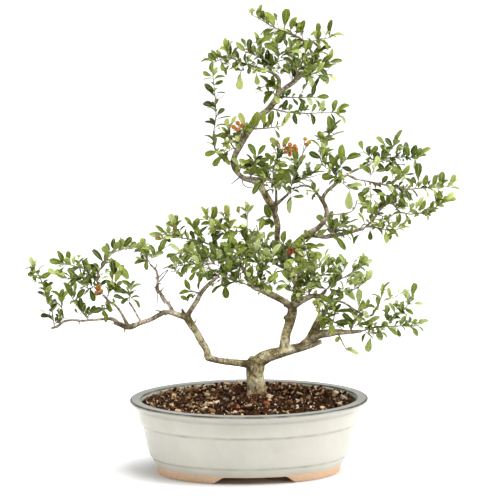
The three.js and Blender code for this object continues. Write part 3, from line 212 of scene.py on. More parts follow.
# Each leafy spray: its shoots, the first from the nearest wood and the others from the shoots before them,
# then its large leaves by the middle of the blade: across, height and length.
SPRAYS = {
    "left_end": ([
        [[-244, -4, 186], [-249, -8, 217], [-258, -11, 240], [-262, -12, 249], [-269, -14, 259]],
    ], [[-254, 251, 17], [-248, 212, 19], [-254, 199, 15]]),
    "left_second": ([
        [[-231, -4, 192], [-236, 4, 220]],
    ], [[-243, 226, 15]]),
    "left_third": ([
        [[-200, -8, 194], [-212, -16, 208], [-221, -23, 222]],
    ], [[-227, 233, 20], [-219, 236, 17], [-210, 227, 16], [-207, 209, 15]]),
    "left_crown": ([
        [[-182, -42, 226, 1.4], [-190, -42, 245], [-181, -36, 266], [-171, -30, 278], [-158, -26, 284],
         [-137, -20, 284]],
        [[-190, -42, 245], [-206, -36, 259], [-219, -33, 263], [-232, -30, 266]],
        [[-190, -42, 247], [-207, -46, 248], [-233, -56, 247]],
        [[-174, -32, 275], [-158, -42, 262]],
        [[-188, -42, 240], [-200, -30, 234], [-207, -22, 238]],
    ], [[-236, 275, 16], [-241, 268, 16], [-203, 266, 15], [-244, 254, 15], [-220, 253, 15],
        [-189, 276, 19], [-167, 290, 16], [-153, 291, 20], [-170, 263, 22], [-193, 260, 15],
        [-154, 254, 18], [-202, 245, 16], [-196, 226, 17], [-210, 241, 15]]),
    "left_crown_low": ([
        [[-178, -41, 221], [-174, -46, 230], [-168, -50, 239]],
        [[-177, -42, 224], [-182, -50, 204]],
    ], [[-175, 239, 17], [-166, 233, 15], [-175, 214, 18], [-180, 199, 16], [-190, 206, 16]]),
    "left_middle": ([
        [[-150, 1, 216], [-147, 5, 237]],
    ], [[-154, 240, 15], [-141, 235, 16], [-156, 230, 15]]),
    "left_peak": ([
        [[-124, 27, 265], [-133, 31, 283]],
        [[-126, 28, 268], [-114, 25, 280]],
        [[-130, 30, 276], [-140, 34, 287], [-152, 38, 289]],
        [[-125, 28, 267], [-132, 46, 276]],
    ], [[-135, 284, 18], [-127, 288, 15], [-115, 276, 16], [-136, 267, 16]]),
    "cloud_under": ([
        [[-61, 1, 228], [-74, 6, 231]],
    ], [[-77, 239, 15]]),
    "cloud_back": ([
        [[-52, 24, 266], [-74, 29, 265], [-92, 31, 262]],
        [[-58, 26, 267], [-70, 45, 284]],
    ], [[-89, 270, 15]]),
    "cloud_tip": ([
        [[-11, -15, 268, 1.7], [-29, -3, 280], [-57, -10, 293], [-82, -16, 298], [-105, -20, 303]],
        [[-60, -11, 293], [-70, -6, 312]],
        [[-82, -16, 298], [-94, -12, 313]],
        [[-22, -8, 275], [-50, -20, 274], [-84, -29, 280]],
        [[-50, -20, 274], [-64, -38, 260]],
    ], [[-117, 303, 15], [-76, 319, 15], [-66, 317, 15], [-76, 272, 16], [-72, 286, 15], [-92, 286, 15],
        [-44, 296, 15], [-60, 302, 15]]),
    "cloud_crest": ([
        [[-6, -22, 259], [-18, -20, 288], [-37, -23, 316]],
        [[-26, -21, 300], [-53, -26, 323]],
        [[-24, -21, 297], [-25, -30, 325]],
    ], [[-45, 329, 22], [-27, 332, 19], [-20, 317, 16], [-57, 331, 16], [-41, 304, 15]]),
    "cloud_front": ([
        [[-2, -31, 239, 1.8], [-24, -44, 246], [-48, -56, 259], [-62, -60, 262]],
        [[-26, -45, 247], [-40, -63, 276]],
        [[-12, -37, 242], [-14, -47, 258], [-25, -59, 286]],
    ], [[-26, 263, 20], [-46, 250, 15], [-66, 269, 16], [-44, 284, 15], [-11, 279, 22], [-22, 297, 16],
        [-31, 288, 15]]),
    "cloud_deep": ([
        [[-39, 15, 249], [-32, 28, 260], [-24, 46, 281]],
        [[-32, 28, 260], [-58, 50, 272]],
        [[-29, 34, 266], [-4, 54, 280]],
        [[-36, 20, 253], [-30, 10, 238]],
    ], [[-30, 244, 17], [-62, 280, 15], [-20, 290, 16], [2, 284, 15]]),
    "cloud_mast": ([
        [[-4, -24, 255, 1.8], [-3, -19, 296], [-2, -15, 331]],
        [[-3, -22, 268], [13, -6, 284], [21, -2, 296]],
        [[-3, -20, 288], [12, -10, 306]],
    ], [[11, 300, 17], [27, 301, 15]]),
    "cloud_heart": ([
        [[16, -24, 232], [13, -35, 254], [8, -42, 280]],
        [[13, -35, 254], [29, -47, 274]],
    ], [[10, 288, 17], [2, 268, 16], [23, 278, 16], [35, 283, 17], [21, 259, 15]]),
    "cloud_skirt": ([
        [[6, -29, 236], [4, -48, 239], [-1, -60, 247]],
        [[5, -38, 237], [24, -50, 242]],
    ], [[2, 252, 16], [20, 235, 17], [30, 248, 16]]),
    "leader_low": ([
        [[36, 22, 313], [25, 5, 324]],
    ], [[23, 332, 19], [32, 328, 15]]),
    "leader_foot": ([
        [[48, 27, 258], [44, 12, 269], [43, -2, 290]],
        [[44, 12, 269], [29, 10, 280]],
    ], [[44, 299, 17], [53, 289, 16], [34, 268, 15]]),
    "centre_back": ([
        [[50, 26, 256], [34, 44, 264], [14, 57, 275]],
        [[38, 40, 262], [46, 60, 282]],
        [[30, 47, 266], [14, 40, 292]],
    ], [[6, 282, 15], [20, 262, 15], [50, 290, 15]]),
    "right_cloud_top": ([
        [[67, 6, 298], [70, -8, 287], [76, -22, 270]],
        [[70, -8, 287], [56, -24, 272]],
    ], [[68, 299, 18], [77, 289, 18], [82, 277, 22], [60, 286, 15], [70, 262, 15]]),
    "right_cloud_middle": ([
        [[74, -12, 223], [78, -26, 241], [84, -38, 262]],
        [[76, -20, 234], [58, -42, 256]],
        [[78, -27, 243], [101, -40, 258]],
    ], [[95, 271, 16], [64, 239, 17], [82, 251, 18], [97, 250, 17], [50, 264, 15], [111, 263, 15]]),
    "right_cloud_front": ([
        [[60, -3, 215], [56, -20, 228], [50, -38, 241]],
        [[56, -20, 228], [72, -42, 233]],
    ], [[45, 250, 16], [41, 235, 16], [62, 223, 15], [80, 237, 16]]),
    "right_cloud_back": ([
        [[60, 18, 238], [70, 33, 248], [90, 50, 262]],
        [[70, 33, 248], [62, 57, 268]],
    ], [[98, 268, 15], [84, 266, 15]]),
    "right_twigs": ([
        [[96, -24, 232, 1.7], [105, -28, 241], [120, -33, 249], [141, -47, 264]],
        [[98, -25, 234], [126, -42, 231], [146, -55, 243]],
        [[106, -29, 242], [109, -12, 262]],
        [[108, -29, 243], [121, -20, 262]],
    ], [[116, 271, 15], [103, 266, 15], [149, 250, 17]]),
    "right_twig_low": ([
        [[159, -48, 208], [167, -52, 228]],
        [[162, -50, 216], [185, -57, 225]],
    ], []),
    "lower_stub": ([
        [[90, -5, 198], [99, -18, 216]],
        [[93, -9, 203], [101, -28, 193]],
        [[90, -5, 198], [84, 16, 216]],
    ], [[94, 190, 18], [103, 184, 17], [89, 213, 16]]),
    "lower_upright": ([
        [[99, -24, 180], [106, -29, 196], [108, -33, 216]],
    ], [[98, 220, 20], [115, 221, 19], [116, 204, 18], [116, 191, 19]]),
    "lower_middle": ([
        [[126, -32, 180], [132, -37, 194], [138, -41, 213]],
        [[128, -34, 186], [147, -38, 191]],
    ], [[126, 226, 18], [137, 224, 18], [144, 210, 18], [123, 197, 16], [141, 200, 17], [156, 195, 16]]),
    "lower_hanging": ([
        [[110, -29, 177], [122, -37, 155]],
    ], [[130, 152, 15], [107, 167, 20]]),
    "lower_far": ([
        [[141, -35, 180, 1.8], [159, -36, 185], [179, -35, 186], [212, -28, 187]],
        [[170, -36, 186], [186, -40, 200], [203, -44, 219]],
        [[144, -35, 181], [153, -42, 173]],
    ], [[197, 227, 15], [205, 233, 17], [212, 226, 15], [184, 209, 15], [150, 163, 19], [163, 176, 17],
        [150, 188, 15]]),
    "right_crest": ([
        [[111, -10, 370], [108, -14, 381], [120, -20, 397]],
        [[108, -14, 381], [91, -20, 393], [90, -10, 412], [101, -5, 433]],
        [[110, -11, 376], [125, -20, 360]],
    ], [[117, 406, 22], [130, 400, 22], [106, 397, 19], [83, 403, 18], [100, 376, 19], [100, 444, 20],
        [110, 442, 17], [125, 347, 24], [134, 364, 15]]),
    "right_link": ([
        [[84, -12, 356], [83, -23, 356]],
    ], [[86, 345, 19]]),
    "upper_far": ([
        [[154, 6, 394], [170, 9, 400], [212, 12, 401]],
        [[168, 9, 400], [182, 14, 417]],
        [[180, 10, 400], [190, 11, 384], [193, 12, 376]],
        [[158, 7, 396], [143, 24, 409]],
    ], [[165, 421, 16], [175, 420, 15], [187, 427, 20], [195, 412, 17], [156, 409, 15], [164, 389, 15],
        [221, 408, 16], [199, 369, 17]]),
    "right_far": ([
        [[134, -10, 373, 1.6], [164, -19, 367], [191, -24, 360.5], [220, -26, 362], [249, -27, 363.5]],
        [[148, -14, 370], [156, -27, 386]],
        [[150, -15, 370], [152, -27, 349]],
        [[177, -22, 364], [190, -29, 378]],
        [[180, -22, 363], [189, -28, 349]],
        [[207, -25, 361], [211, -27, 370]],
    ], [[158, 395, 16], [143, 386, 15], [159, 358, 17], [150, 340, 20], [211, 381, 24], [220, 372, 15],
        [231, 371, 15], [240, 374, 18], [253, 372, 15], [184, 383, 16], [195, 385, 15], [198, 352, 15],
        [143, 355, 15]]),
    "low_tip": ([
        [[144, 23, 311, 2], [155, 28, 321, 1.7], [163, 31, 333], [178, 34, 343], [190, 30, 331],
         [226, 24, 334], [245, 21, 345]],
        [[178, 34, 343], [196, 43, 355]],
        [[148, 25, 314], [180, 20, 308], [190, 17, 311]],
        [[160, 30, 328], [177, 24, 324]],
        [[159, 30, 327], [146, 46, 342]],
    ], [[251, 351, 15], [217, 344, 15], [201, 361, 15], [187, 322, 15], [171, 300, 17], [141, 349, 15],
        [168, 348, 15]]),
    "low_near": ([
        [[104, 8, 301], [98, -3, 314]],
        [[102, 4, 305], [120, 6, 315]],
        [[103, 6, 303], [114, 28, 320]],
    ], [[91, 321, 17], [102, 325, 16], [92, 306, 15], [115, 291, 19], [107, 314, 15]]),
    "upper_left": ([
        [[1, 2, 372], [5, -11, 389], [9, -17, 402]],
        [[3, -7, 383], [-12, -20, 388]],
    ], [[3, 411, 16], [-16, 394, 15], [15, 393, 15], [14, 383, 16], [16, 410, 15]]),
    "upper_middle": ([
        [[34, 6, 360], [30, -6, 384], [40, -14, 410]],
        [[31, -2, 374], [15, -16, 371]],
    ], [[32, 419, 17], [47, 420, 15], [49, 408, 21], [26, 401, 15], [19, 382, 16], [10, 362, 19],
        [41, 390, 15]]),
    "upper_right": ([
        [[49, 8, 354.5], [58, -1, 380], [60, -4, 393]],
        [[53, 4, 367], [79, 12, 380]],
        [[50, 7, 357], [53, 0, 349]],
    ], [[47, 376, 24], [66, 391, 16], [72, 387, 15], [66, 358, 18], [52, 339, 19], [58, 405, 16]]),
    "upper_back": ([
        [[16, 8, 361], [20, 30, 373], [26, 47, 388]],
        [[19, 25, 370], [42, 42, 366]],
        [[20, 30, 373], [0, 45, 388]],
    ], [[29, 397, 16], [50, 368, 15], [-7, 394, 15]]),
    "bend_cluster": ([
        [[-15, -8, 408], [-24, -16, 421], [-26, -22, 435]],
        [[-12, -9, 415], [-5, -20, 438]],
        [[-19, -12, 412], [-35, -8, 403]],
    ], [[-27, 443, 15], [-9, 449, 17], [0, 445, 18], [-15, 424, 15], [-39, 397, 19], [-26, 398, 15]]),
    "left_whip": ([
        [[-19, -5, 394], [-34, -2, 400], [-44, 1, 417], [-41, 5, 455], [-45, 7, 506]],
    ], [[-51, 506, 15], [-37, 501, 15], [-49, 487, 19], [-50, 467, 16], [-49, 443, 15], [-48, 406, 15]]),
    "apex_left": ([
        [[2, -12, 517, 1.5], [-12, -17, 522], [-26, -20, 527], [-43, -23, 521]],
        [[-20, -19, 525], [-28, -26, 536]],
        [[-4, -15, 519], [-11, -23, 507]],
        [[0, -13, 518], [9, -27, 508]],
    ], [[-53, 521, 15], [-29, 544, 15], [-11, 497, 22], [10, 500, 15], [16, 510, 15]]),
    "apex_under": ([
        [[37, 4, 488], [25, -8, 492]],
        [[33, 0, 489], [30, -7, 482]],
    ], [[18, 499, 16], [25, 476, 20], [34, 475, 15]]),
    "apex_core_left": ([
        [[31, 1, 507], [20, -8, 521], [13, -12, 536], [10, -14, 545]],
        [[18, -9, 526], [-4, -18, 534]],
        [[26, -3, 513], [36, -9, 524], [35, -17, 544]],
        [[36, -9, 524], [52, -18, 536]],
        [[21, -7, 519], [12, 18, 532]],
    ], [[8, 553, 15], [-11, 541, 15], [0, 543, 15], [19, 549, 15], [2, 526, 15], [27, 541, 18],
        [39, 552, 16], [50, 545, 15], [60, 541, 16], [48, 522, 16]]),
    "apex_core_right": ([
        [[53, 12, 494], [62, 2, 511], [70, -10, 534]],
        [[59, 5, 506], [84, -8, 507]],
        [[54, 10, 498], [54, 34, 514], [56, 43, 527]],
        [[54, 22, 506], [32, 42, 520]],
        [[54, 26, 509], [76, 44, 522]],
    ], [[75, 542, 16], [82, 529, 16], [89, 514, 16], [92, 502, 15], [56, 520, 15], [76, 496, 15],
        [58, 537, 15], [27, 529, 15], [84, 529, 15]]),
    "crown": ([
        [[78, 25, 516, 1.7], [79, 20, 530], [70, 14, 547], [50, 7, 559], [32, 3, 565], [14, 0, 576],
         [2, -2, 582]],
        [[70, 14, 547], [101, 18, 553]],
        [[78, 19, 532], [88, 16, 536]],
        [[78, 24, 518], [97, 30, 521]],
        [[84, 26, 519], [99, 21, 506]],
    ], [[4, 585, 6], [14, 586, 17], [25, 575, 24], [33, 582, 17], [46, 578, 22], [26, 555, 15],
        [40, 552, 15], [56, 571, 17], [67, 567, 16], [86, 563, 17], [102, 566, 19], [92, 545, 18],
        [101, 532, 16], [86, 498, 15]]),
    "leader_right_high": ([
        [[35, 3, 478], [53, -3, 477], [83, -9, 477]],
        [[62, -5, 477], [72, -3, 494]],
    ], [[92, 477, 16], [81, 487, 15], [67, 467, 15], [76, 503, 15]]),
    "leader_right_low": ([
        [[26, 0, 463], [51, -8, 457.5], [111, -18, 458]],
    ], [[92, 467, 15], [66, 466, 15], [44, 467, 15]]),
    "leader_left_low": ([
        [[3, -9, 436], [26, -20, 438], [43, -24, 441]],
    ], [[10, 449, 20], [19, 451, 16], [29, 451, 18], [47, 450, 16]]),
}

# Each bunch of fruit: where its stalk leaves the wood or a shoot, and the middle of each fruit.
BERRIES = {
    "bend": {
        "foot": [-9, -17, 430],
        "fruit": [[-14, -26, 444], [-9, -28, 441], [-19, -27, 439], [-15, -30, 436]],
    },
    "upper": {
        "foot": [40, -14, 408],
        "fruit": [[44, -24, 416], [51, -26, 417], [57, -27, 415], [59, -23, 411], [52, -29, 410],
        [51, -24, 404],
                  [46, -28, 408]],
    },
    "upper_pale": {
        "foot": [58, -1, 381],
        "fruit": [[70, -8, 424], [75, -10, 420], [72, -5, 417]],
    },
    "leader": {
        "foot": [44, 16, 268],
        "fruit": [[53, -6, 284], [58, -8, 281], [50, -10, 279]],
    },
    "left": {
        "foot": [-190, -43, 240],
        "fruit": [[-188, -56, 236], [-184, -58, 231], [-190, -58, 229]],
    },
}

# Smaller leaves between the large ones: across and height, then a length where it isn't left to chance.
EXTRA_LEAVES = [
    (-272, 265), (-267, 249), (-253, 234), (-258, 226, 14), (-234, 227, 14), (-237, 198, 14),
    (-215, 214, 14), (-217, 270, 14), (-234, 257, 14), (-178, 282, 14), (-162, 222),
    (-143, 221, 14), (-154, 219), (-124, 276, 14), (-81, 228, 14), (-74, 222), (-82, 257),
    (-66, 256, 14), (-98, 262, 14), (-112, 310, 14), (-104, 295, 14), (-102, 310, 14),
    (-88, 316, 14), (-96, 276, 14), (-70, 260, 14), (-61, 321, 14), (-40, 233, 14), (-9, 334, 11),
    (3, 335, 11), (-12, 308, 14), (30, 290, 14), (14, 314, 14), (9, 227, 14), (-8, 240, 14),
    (18, 318, 14), (33, 312, 14), (144, 271, 12), (134, 247), (138, 229), (158, 223, 14),
    (167, 236), (190, 230), (174, 229, 12), (151, 211, 12), (212, 214), (200, 204), (173, 197, 14),
    (200, 194), (219, 193, 14), (208, 178, 14), (187, 178), (85, 424, 14), (97, 409, 14),
    (79, 369, 14), (175, 389, 14), (207, 409), (208, 393), (222, 354), (257, 361), (188, 341, 14),
    (238, 354, 12), (236, 350, 14), (221, 325, 14), (198, 323), (188, 360, 14), (196, 315, 14),
    (185, 328), (128, 318, 14), (87, 381, 14), (-35, 428, 14), (-36, 482), (-36, 458, 14),
    (-36, 440, 14), (-50, 424, 14), (-46, 511, 14), (-43, 531, 14), (-18, 534, 14), (-33, 516, 14),
    (-17, 511, 14), (16, 488, 14), (111, 554, 14), (109, 523, 14), (104, 498, 14),
    (54, 486, 14), (119, 461, 14), (107, 467, 14), (104, 449), (78, 449), (58, 449, 14), (35, 430),
    (-266, 264), (-258, 260), (-254, 241), (-250, 238), (-211, 222), (-225, 275), (-199, 261),
    (-239, 252), (-228, 250), (-176, 287), (-182, 263), (-171, 250), (-196, 207), (-204, 252),
    (-196, 249), (-188, 246), (-181, 242), (-199, 240), (-191, 233), (-185, 227), (-178, 231),
    (-201, 232), (-141, 214), (-144, 200), (-148, 204), (-122, 284), (-128, 265), (-84, 264),
    (-102, 287), (-79, 277), (-70, 250), (-62, 247), (-72, 229), (-61, 238), (-26, 321), (-5, 301),
    (19, 302), (24, 326), (40, 240), (6, 240), (-108, 305), (-99, 298), (-91, 306), (-82, 310),
    (-74, 314), (-66, 307), (-55, 310), (-46, 305), (-38, 300), (-29, 296), (-49, 291), (-59, 296),
    (-41, 280), (-31, 275), (-21, 273), (-10, 268), (-1, 263), (9, 268), (16, 274), (1, 275),
    (-6, 292), (11, 282), (20, 284), (28, 279), (36, 275), (44, 282), (49, 272), (14, 258),
    (-11, 255), (-21, 250), (-29, 255), (-2, 245), (12, 247), (24, 254), (35, 255), (45, 260),
    (-19, 302), (-36, 314), (-46, 319), (72, 287), (82, 244), (61, 268), (70, 268), (79, 265),
    (65, 256), (75, 255), (85, 258), (94, 261), (105, 260), (61, 292), (78, 297), (88, 288),
    (98, 280), (55, 251), (71, 232), (80, 232), (89, 235), (99, 241), (108, 249), (64, 228),
    (139, 263), (159, 208), (168, 228), (161, 218), (162, 212), (95, 198), (129, 187), (136, 195),
    (144, 189), (135, 218), (148, 181), (144, 171), (106, 172), (166, 184), (114, 227), (205, 214),
    (198, 215), (178, 209), (191, 205), (184, 198), (196, 186), (206, 191), (214, 191), (102, 207),
    (111, 208), (121, 207), (129, 204), (39, 560), (62, 567), (86, 536), (20, 560), (24, 547),
    (11, 547), (32, 537), (-1, 534), (96, 525), (105, 516), (101, 504), (14, 536), (22, 529),
    (32, 525), (42, 529), (52, 536), (61, 532), (70, 528), (79, 523), (65, 542), (55, 546),
    (45, 546), (35, 548), (56, 515), (66, 513), (75, 509), (84, 506), (38, 513), (29, 518),
    (19, 520), (11, 525), (6, 518), (92, 510), (62, 521), (-46, 523), (-38, 532), (-28, 534),
    (-21, 529), (-29, 523), (-31, 511), (-8, 510), (21, 505), (22, 495), (26, 483), (29, 493),
    (111, 458), (-16, 518), (-6, 518), (0, 511), (11, 511), (-51, 500), (-38, 495), (-46, 482),
    (-44, 467), (-31, 451), (-4, 440), (-24, 431), (-30, 426), (-21, 423), (-15, 414), (-30, 414),
    (-34, 399), (-18, 448), (4, 453), (36, 456), (59, 456), (70, 459), (81, 464), (65, 473),
    (75, 472), (85, 469), (51, 463), (-6, 388), (1, 399), (10, 394), (19, 397), (16, 368),
    (49, 382), (60, 388), (79, 380), (42, 425), (42, 412), (21, 408), (38, 405), (46, 398),
    (55, 395), (29, 388), (42, 376), (61, 375), (71, 371), (64, 365), (25, 358), (35, 365),
    (44, 360), (75, 391), (66, 398), (89, 408), (109, 385), (116, 448), (91, 428), (98, 435),
    (105, 436), (111, 430), (100, 421), (94, 416), (102, 409), (112, 412), (86, 389), (95, 391),
    (115, 391), (122, 386), (114, 375), (105, 370), (175, 411), (185, 408), (164, 395), (206, 400),
    (168, 412), (160, 400), (181, 400), (191, 398), (199, 405), (151, 398), (155, 388), (165, 384),
    (176, 381), (146, 391), (216, 366), (226, 368), (235, 375), (218, 361), (256, 368), (185, 374),
    (176, 362), (158, 366), (151, 347), (158, 343), (206, 356), (191, 346), (245, 344), (210, 340),
    (190, 366), (206, 371), (201, 379), (225, 360), (235, 363), (244, 367), (169, 372), (146, 360),
    (165, 352), (174, 348), (182, 353), (202, 347), (94, 315), (99, 319), (114, 315), (130, 311),
    (140, 305), (91, 295), (108, 298), (191, 314), (154, 325), (100, 307), (120, 306), (126, 301),
    (135, 296), (145, 314), (162, 319), (171, 323), (180, 317), (206, 329), (214, 335), (229, 339),
    (161, 307), (152, 302), (179, 307), (88, 309), (95, 301), (121, 319), (140, 324),
]


# Small helpers.


def deselect():
    if bpy.context.object and bpy.context.object.mode != "OBJECT":
        bpy.ops.object.mode_set(mode="OBJECT")
    bpy.ops.object.select_all(action="DESELECT")


def only(piece):
    deselect()
    piece.select_set(True)
    bpy.context.view_layer.objects.active = piece
    return piece


def apply_modifier(piece, kind, **settings):
    only(piece)
    modifier = piece.modifiers.new(kind.lower(), kind)
    for name, value in settings.items():
        setattr(modifier, name, value)
    bpy.ops.object.modifier_apply(modifier=modifier.name)


def corners_of(piece):
    spots = np.empty(len(piece.data.vertices) * 3)
    piece.data.vertices.foreach_get("co", spots)
    return spots.reshape(-1, 3)


def set_corners(piece, spots):
    piece.data.vertices.foreach_set("co", np.ascontiguousarray(spots, dtype=np.float32).ravel())
    piece.data.update()


def paint(piece, name, values):
    """A number for each vertex of a mesh, which its finish reads."""
    layer = piece.data.attributes.get(name) or piece.data.attributes.new(name, "FLOAT", "POINT")
    layer.data.foreach_set("value", np.ascontiguousarray(values, dtype=np.float32))


def join_into(whole, parts):
    """Makes one piece of several; it keeps the name and place of the first."""
    only(whole)
    for part in parts:
        part.select_set(True)
    bpy.context.view_layer.objects.active = whole
    bpy.ops.object.join()


def unit(v):
    return v / np.linalg.norm(v)


def turned_about(v, axis, angle):
    c, s = math.cos(angle), math.sin(angle)
    return v * c + np.cross(axis, v) * s + axis * (axis @ v) * (1 - c)


TOP = np.array([0.0, 0.0, 1.0])
VIEWER = np.array([-math.sin(VIEW_TURN), -math.cos(VIEW_TURN), 0.0])
SIGHT = np.array([math.sin(VIEW_TURN), math.cos(VIEW_TURN), -SIGHT_RISE])


def place(row):
    """A front elevation place in the tree's own frame, in millimetres."""
    x, y, h = row[:3]
    c, s = math.cos(VIEW_TURN), math.sin(VIEW_TURN)
    return np.array([x * c + y * s + POT_MIDDLE_X, y * c - x * s, h - SIGHT_RISE * y])


# Finishes.


def new_finish(name):
    material = bpy.data.materials.new(name)
    material.use_nodes = True
    tree = material.node_tree
    shader = tree.nodes["Principled BSDF"]
    return material, tree, shader


def node(tree, kind, inputs=None, **settings):
    made = tree.nodes.new(kind)
    for name, value in settings.items():
        setattr(made, name, value)
    for name, value in (inputs or {}).items():
        if isinstance(value, bpy.types.NodeSocket):
            tree.links.new(value, made.inputs[name])
        else:
            made.inputs[name].default_value = value
    return made


def spot(tree):
    return node(tree, "ShaderNodeTexCoord").outputs["Object"]


def number(tree, name):
    return node(tree, "ShaderNodeAttribute", attribute_name=name).outputs["Fac"]


def speckle(tree, where, scale, detail=3, roughness=0.55, distortion=0.0):
    made = node(tree, "ShaderNodeTexNoise", {"Vector": where, "Scale": scale, "Detail": detail,
                                              "Roughness": roughness, "Distortion": distortion})
    return made.outputs["Fac"]


def cells(tree, where, scale, feature="F1"):
    made = node(tree, "ShaderNodeTexVoronoi", {"Vector": where, "Scale": scale}, feature=feature)
    return made.outputs["Distance"]


def ramp(tree, value, *stops, shape="LINEAR"):
    made = node(tree, "ShaderNodeValToRGB", {"Fac": value})
    made.color_ramp.interpolation = shape
    elements = made.color_ramp.elements
    while len(elements) < len(stops):
        elements.new(0.5)
    for element, (at, colour) in zip(elements, stops):
        element.position = at
        element.color = (*colour, 1) if len(colour) == 3 else colour
    return made.outputs["Color"]


def level(tree, value, low, high, to_low=0.0, to_high=1.0):
    made = node(tree, "ShaderNodeMapRange", {"Value": value, "From Min": low, "From Max": high,
                                              "To Min": to_low, "To Max": to_high})
    return made.outputs["Result"]


def reckon(tree, kind, a, b):
    made = node(tree, "ShaderNodeMath", operation=kind)
    for socket, value in zip(made.inputs, (a, b)):
        if isinstance(value, bpy.types.NodeSocket):
            tree.links.new(value, socket)
        else:
            socket.default_value = value
    return made.outputs[0]


def plus(tree, a, b):
    return reckon(tree, "ADD", a, b)


def minus(tree, a, b):
    return reckon(tree, "SUBTRACT", a, b)


def times(tree, a, b):
    return reckon(tree, "MULTIPLY", a, b)


def apart(tree, a, b):
    """How far two numbers lie from each other."""
    return reckon(tree, "ABSOLUTE", minus(tree, a, b), 0)


def blend(tree, share, a, b, kind="MIX"):
    made = node(tree, "ShaderNodeMix", data_type="RGBA", blend_type=kind)
    for socket, value in ((made.inputs[0], share), (made.inputs[6], a), (made.inputs[7], b)):
        if isinstance(value, bpy.types.NodeSocket):
            tree.links.new(value, socket)
        elif isinstance(value, tuple):
            socket.default_value = (*value, 1)
        else:
            socket.default_value = value
    return made.outputs[2]


def relief(tree, height, strength, distance):
    return node(tree, "ShaderNodeBump", {"Height": height, "Strength": strength,
                                          "Distance": distance}).outputs["Normal"]


def glaze_finish():
    """Off-white glossy glaze over tan clay, brown at its edges, with painted shade under the lip and along
    the step and ridge, and a grey lip top that is partly a painted reflection.
    """
    material, tree, shader = new_finish("cream_glaze_over_clay")
    where = spot(tree)
    height = node(tree, "ShaderNodeSeparateXYZ", {"Vector": where}).outputs["Z"]
    reach = number(tree, "reach")
    clouds = speckle(tree, where, 26, 4)
    body = ramp(tree, clouds, (0.32, (0.455, 0.442, 0.380)), (0.68, (0.505, 0.492, 0.430)))
    streaks = speckle(tree, node(tree, "ShaderNodeMapping", {"Vector": where, "Scale": (1, 1, 0.25)})
                      .outputs["Vector"], 150, 3)
    body = blend(tree, level(tree, streaks, 0.45, 0.8, 0, 0.12), body, (0.62, 0.61, 0.55))
    # Painted shade: a brown line along the step under the lip, along the ridge over the foot and just under
    # the lip.
    for at, wide, strength in ((0.0626, 0.0030, 0.82), (0.0208, 0.0025, 0.68), (0.0832, 0.0028, 0.65)):
        near = apart(tree, height, at)
        wander = level(tree, speckle(tree, where, 60, 2), 0.35, 0.7, 0.45, 1)
        share = times(tree, level(tree, near, 0, wide, strength, 0), wander)
        body = blend(tree, share, body, (0.25, 0.235, 0.18))
    # Painted shade: greyer under the lip.
    painted_shade_under_lip = times(tree, level(tree, height, 0.0805, 0.084), level(tree, reach, 137, 139))
    body = blend(tree, times(tree, painted_shade_under_lip, 0.42), body, (0.30, 0.30, 0.26))
    lip_inner, lip_outer = LIP_LENGTH / 2 - LIP_WIDTH, LIP_LENGTH / 2 - 1.4
    # The lip's flat top: a grey that is partly the glaze's own tone and partly a painted reflection.
    flange = times(tree, level(tree, height, 0.0925, 0.0934),
                   level(tree, reach, lip_inner - 1, lip_inner + 0.5))
    body = blend(tree, times(tree, flange, 0.9), body, (0.222, 0.228, 0.200))
    outer = times(tree, level(tree, height, 0.0908, 0.0926),
                  level(tree, apart(tree, reach, lip_outer), 0.8, 1.8, 1, 0))
    inner = times(tree, level(tree, height, 0.0908, 0.0924),
                  level(tree, apart(tree, reach, lip_inner - 0.1), 0.6, 1.5, 1, 0))
    thin = level(tree, speckle(tree, where, 45, 3), 0.3, 0.6, 0.6, 1)
    body = blend(tree, times(tree, outer, thin), body, (0.030, 0.027, 0.020))
    body = blend(tree, times(tree, inner, thin), body, (0.04, 0.035, 0.028))
    specks = level(tree, cells(tree, where, 75), 0.06, 0.035)
    rare = level(tree, speckle(tree, where, 30, 1), 0.56, 0.62)
    body = blend(tree, times(tree, specks, rare), body, (0.12, 0.10, 0.07))
    # Bare clay at the foot and under the floor.
    edge = plus(tree, height, level(tree, speckle(tree, where, 70, 3), 0, 1, -0.0011, 0.0011))
    bare = level(tree, edge, 0.0106, 0.0099)
    bloom = level(tree, edge, 0.0120, 0.0106)
    grit = speckle(tree, where, 420, 4)
    clay = ramp(tree, grit, (0.3, (0.56, 0.37, 0.235)), (0.7, (0.74, 0.52, 0.35)))
    faded = level(tree, speckle(tree, where, 35, 3), 0.4, 0.75, 0, 0.45)
    clay = blend(tree, faded, clay, (0.60, 0.36, 0.20))
    body = blend(tree, times(tree, bloom, 0.35), body, (0.46, 0.38, 0.27))
    tree.links.new(blend(tree, bare, body, clay), shader.inputs["Base Color"])
    tree.links.new(level(tree, bare, 0, 1, 0.24, 0.85), shader.inputs["Roughness"])
    ripples = plus(tree, times(tree, speckle(tree, where, 38, 2), 1.0),
                   times(tree, grit, times(tree, bare, 0.4)))
    tree.links.new(relief(tree, ripples, 0.35, 0.0006), shader.inputs["Normal"])
    return material


def soil_finish():
    """Grit and compost: each grain has its own colour, with darker pores and damp patches."""
    material, tree, shader = new_finish("grit_and_compost")
    where = spot(tree)
    own = node(tree, "ShaderNodeAttribute", attribute_name="grain").outputs["Color"]
    pores = speckle(tree, where, 1500, 4)
    colour = blend(tree, level(tree, pores, 0.35, 0.62, 0.65, 0), own, (0.018, 0.008, 0.004))
    damp = level(tree, speckle(tree, where, 55, 2), 0.5, 0.7, 0, 0.45)
    colour = blend(tree, damp, colour, (0.02, 0.010, 0.006))
    tree.links.new(colour, shader.inputs["Base Color"])
    shader.inputs["Roughness"].default_value = 0.85
    shader.inputs["Specular IOR Level"].default_value = 0.05
    tree.links.new(relief(tree, pores, 0.7, 0.0006), shader.inputs["Normal"])
    return material


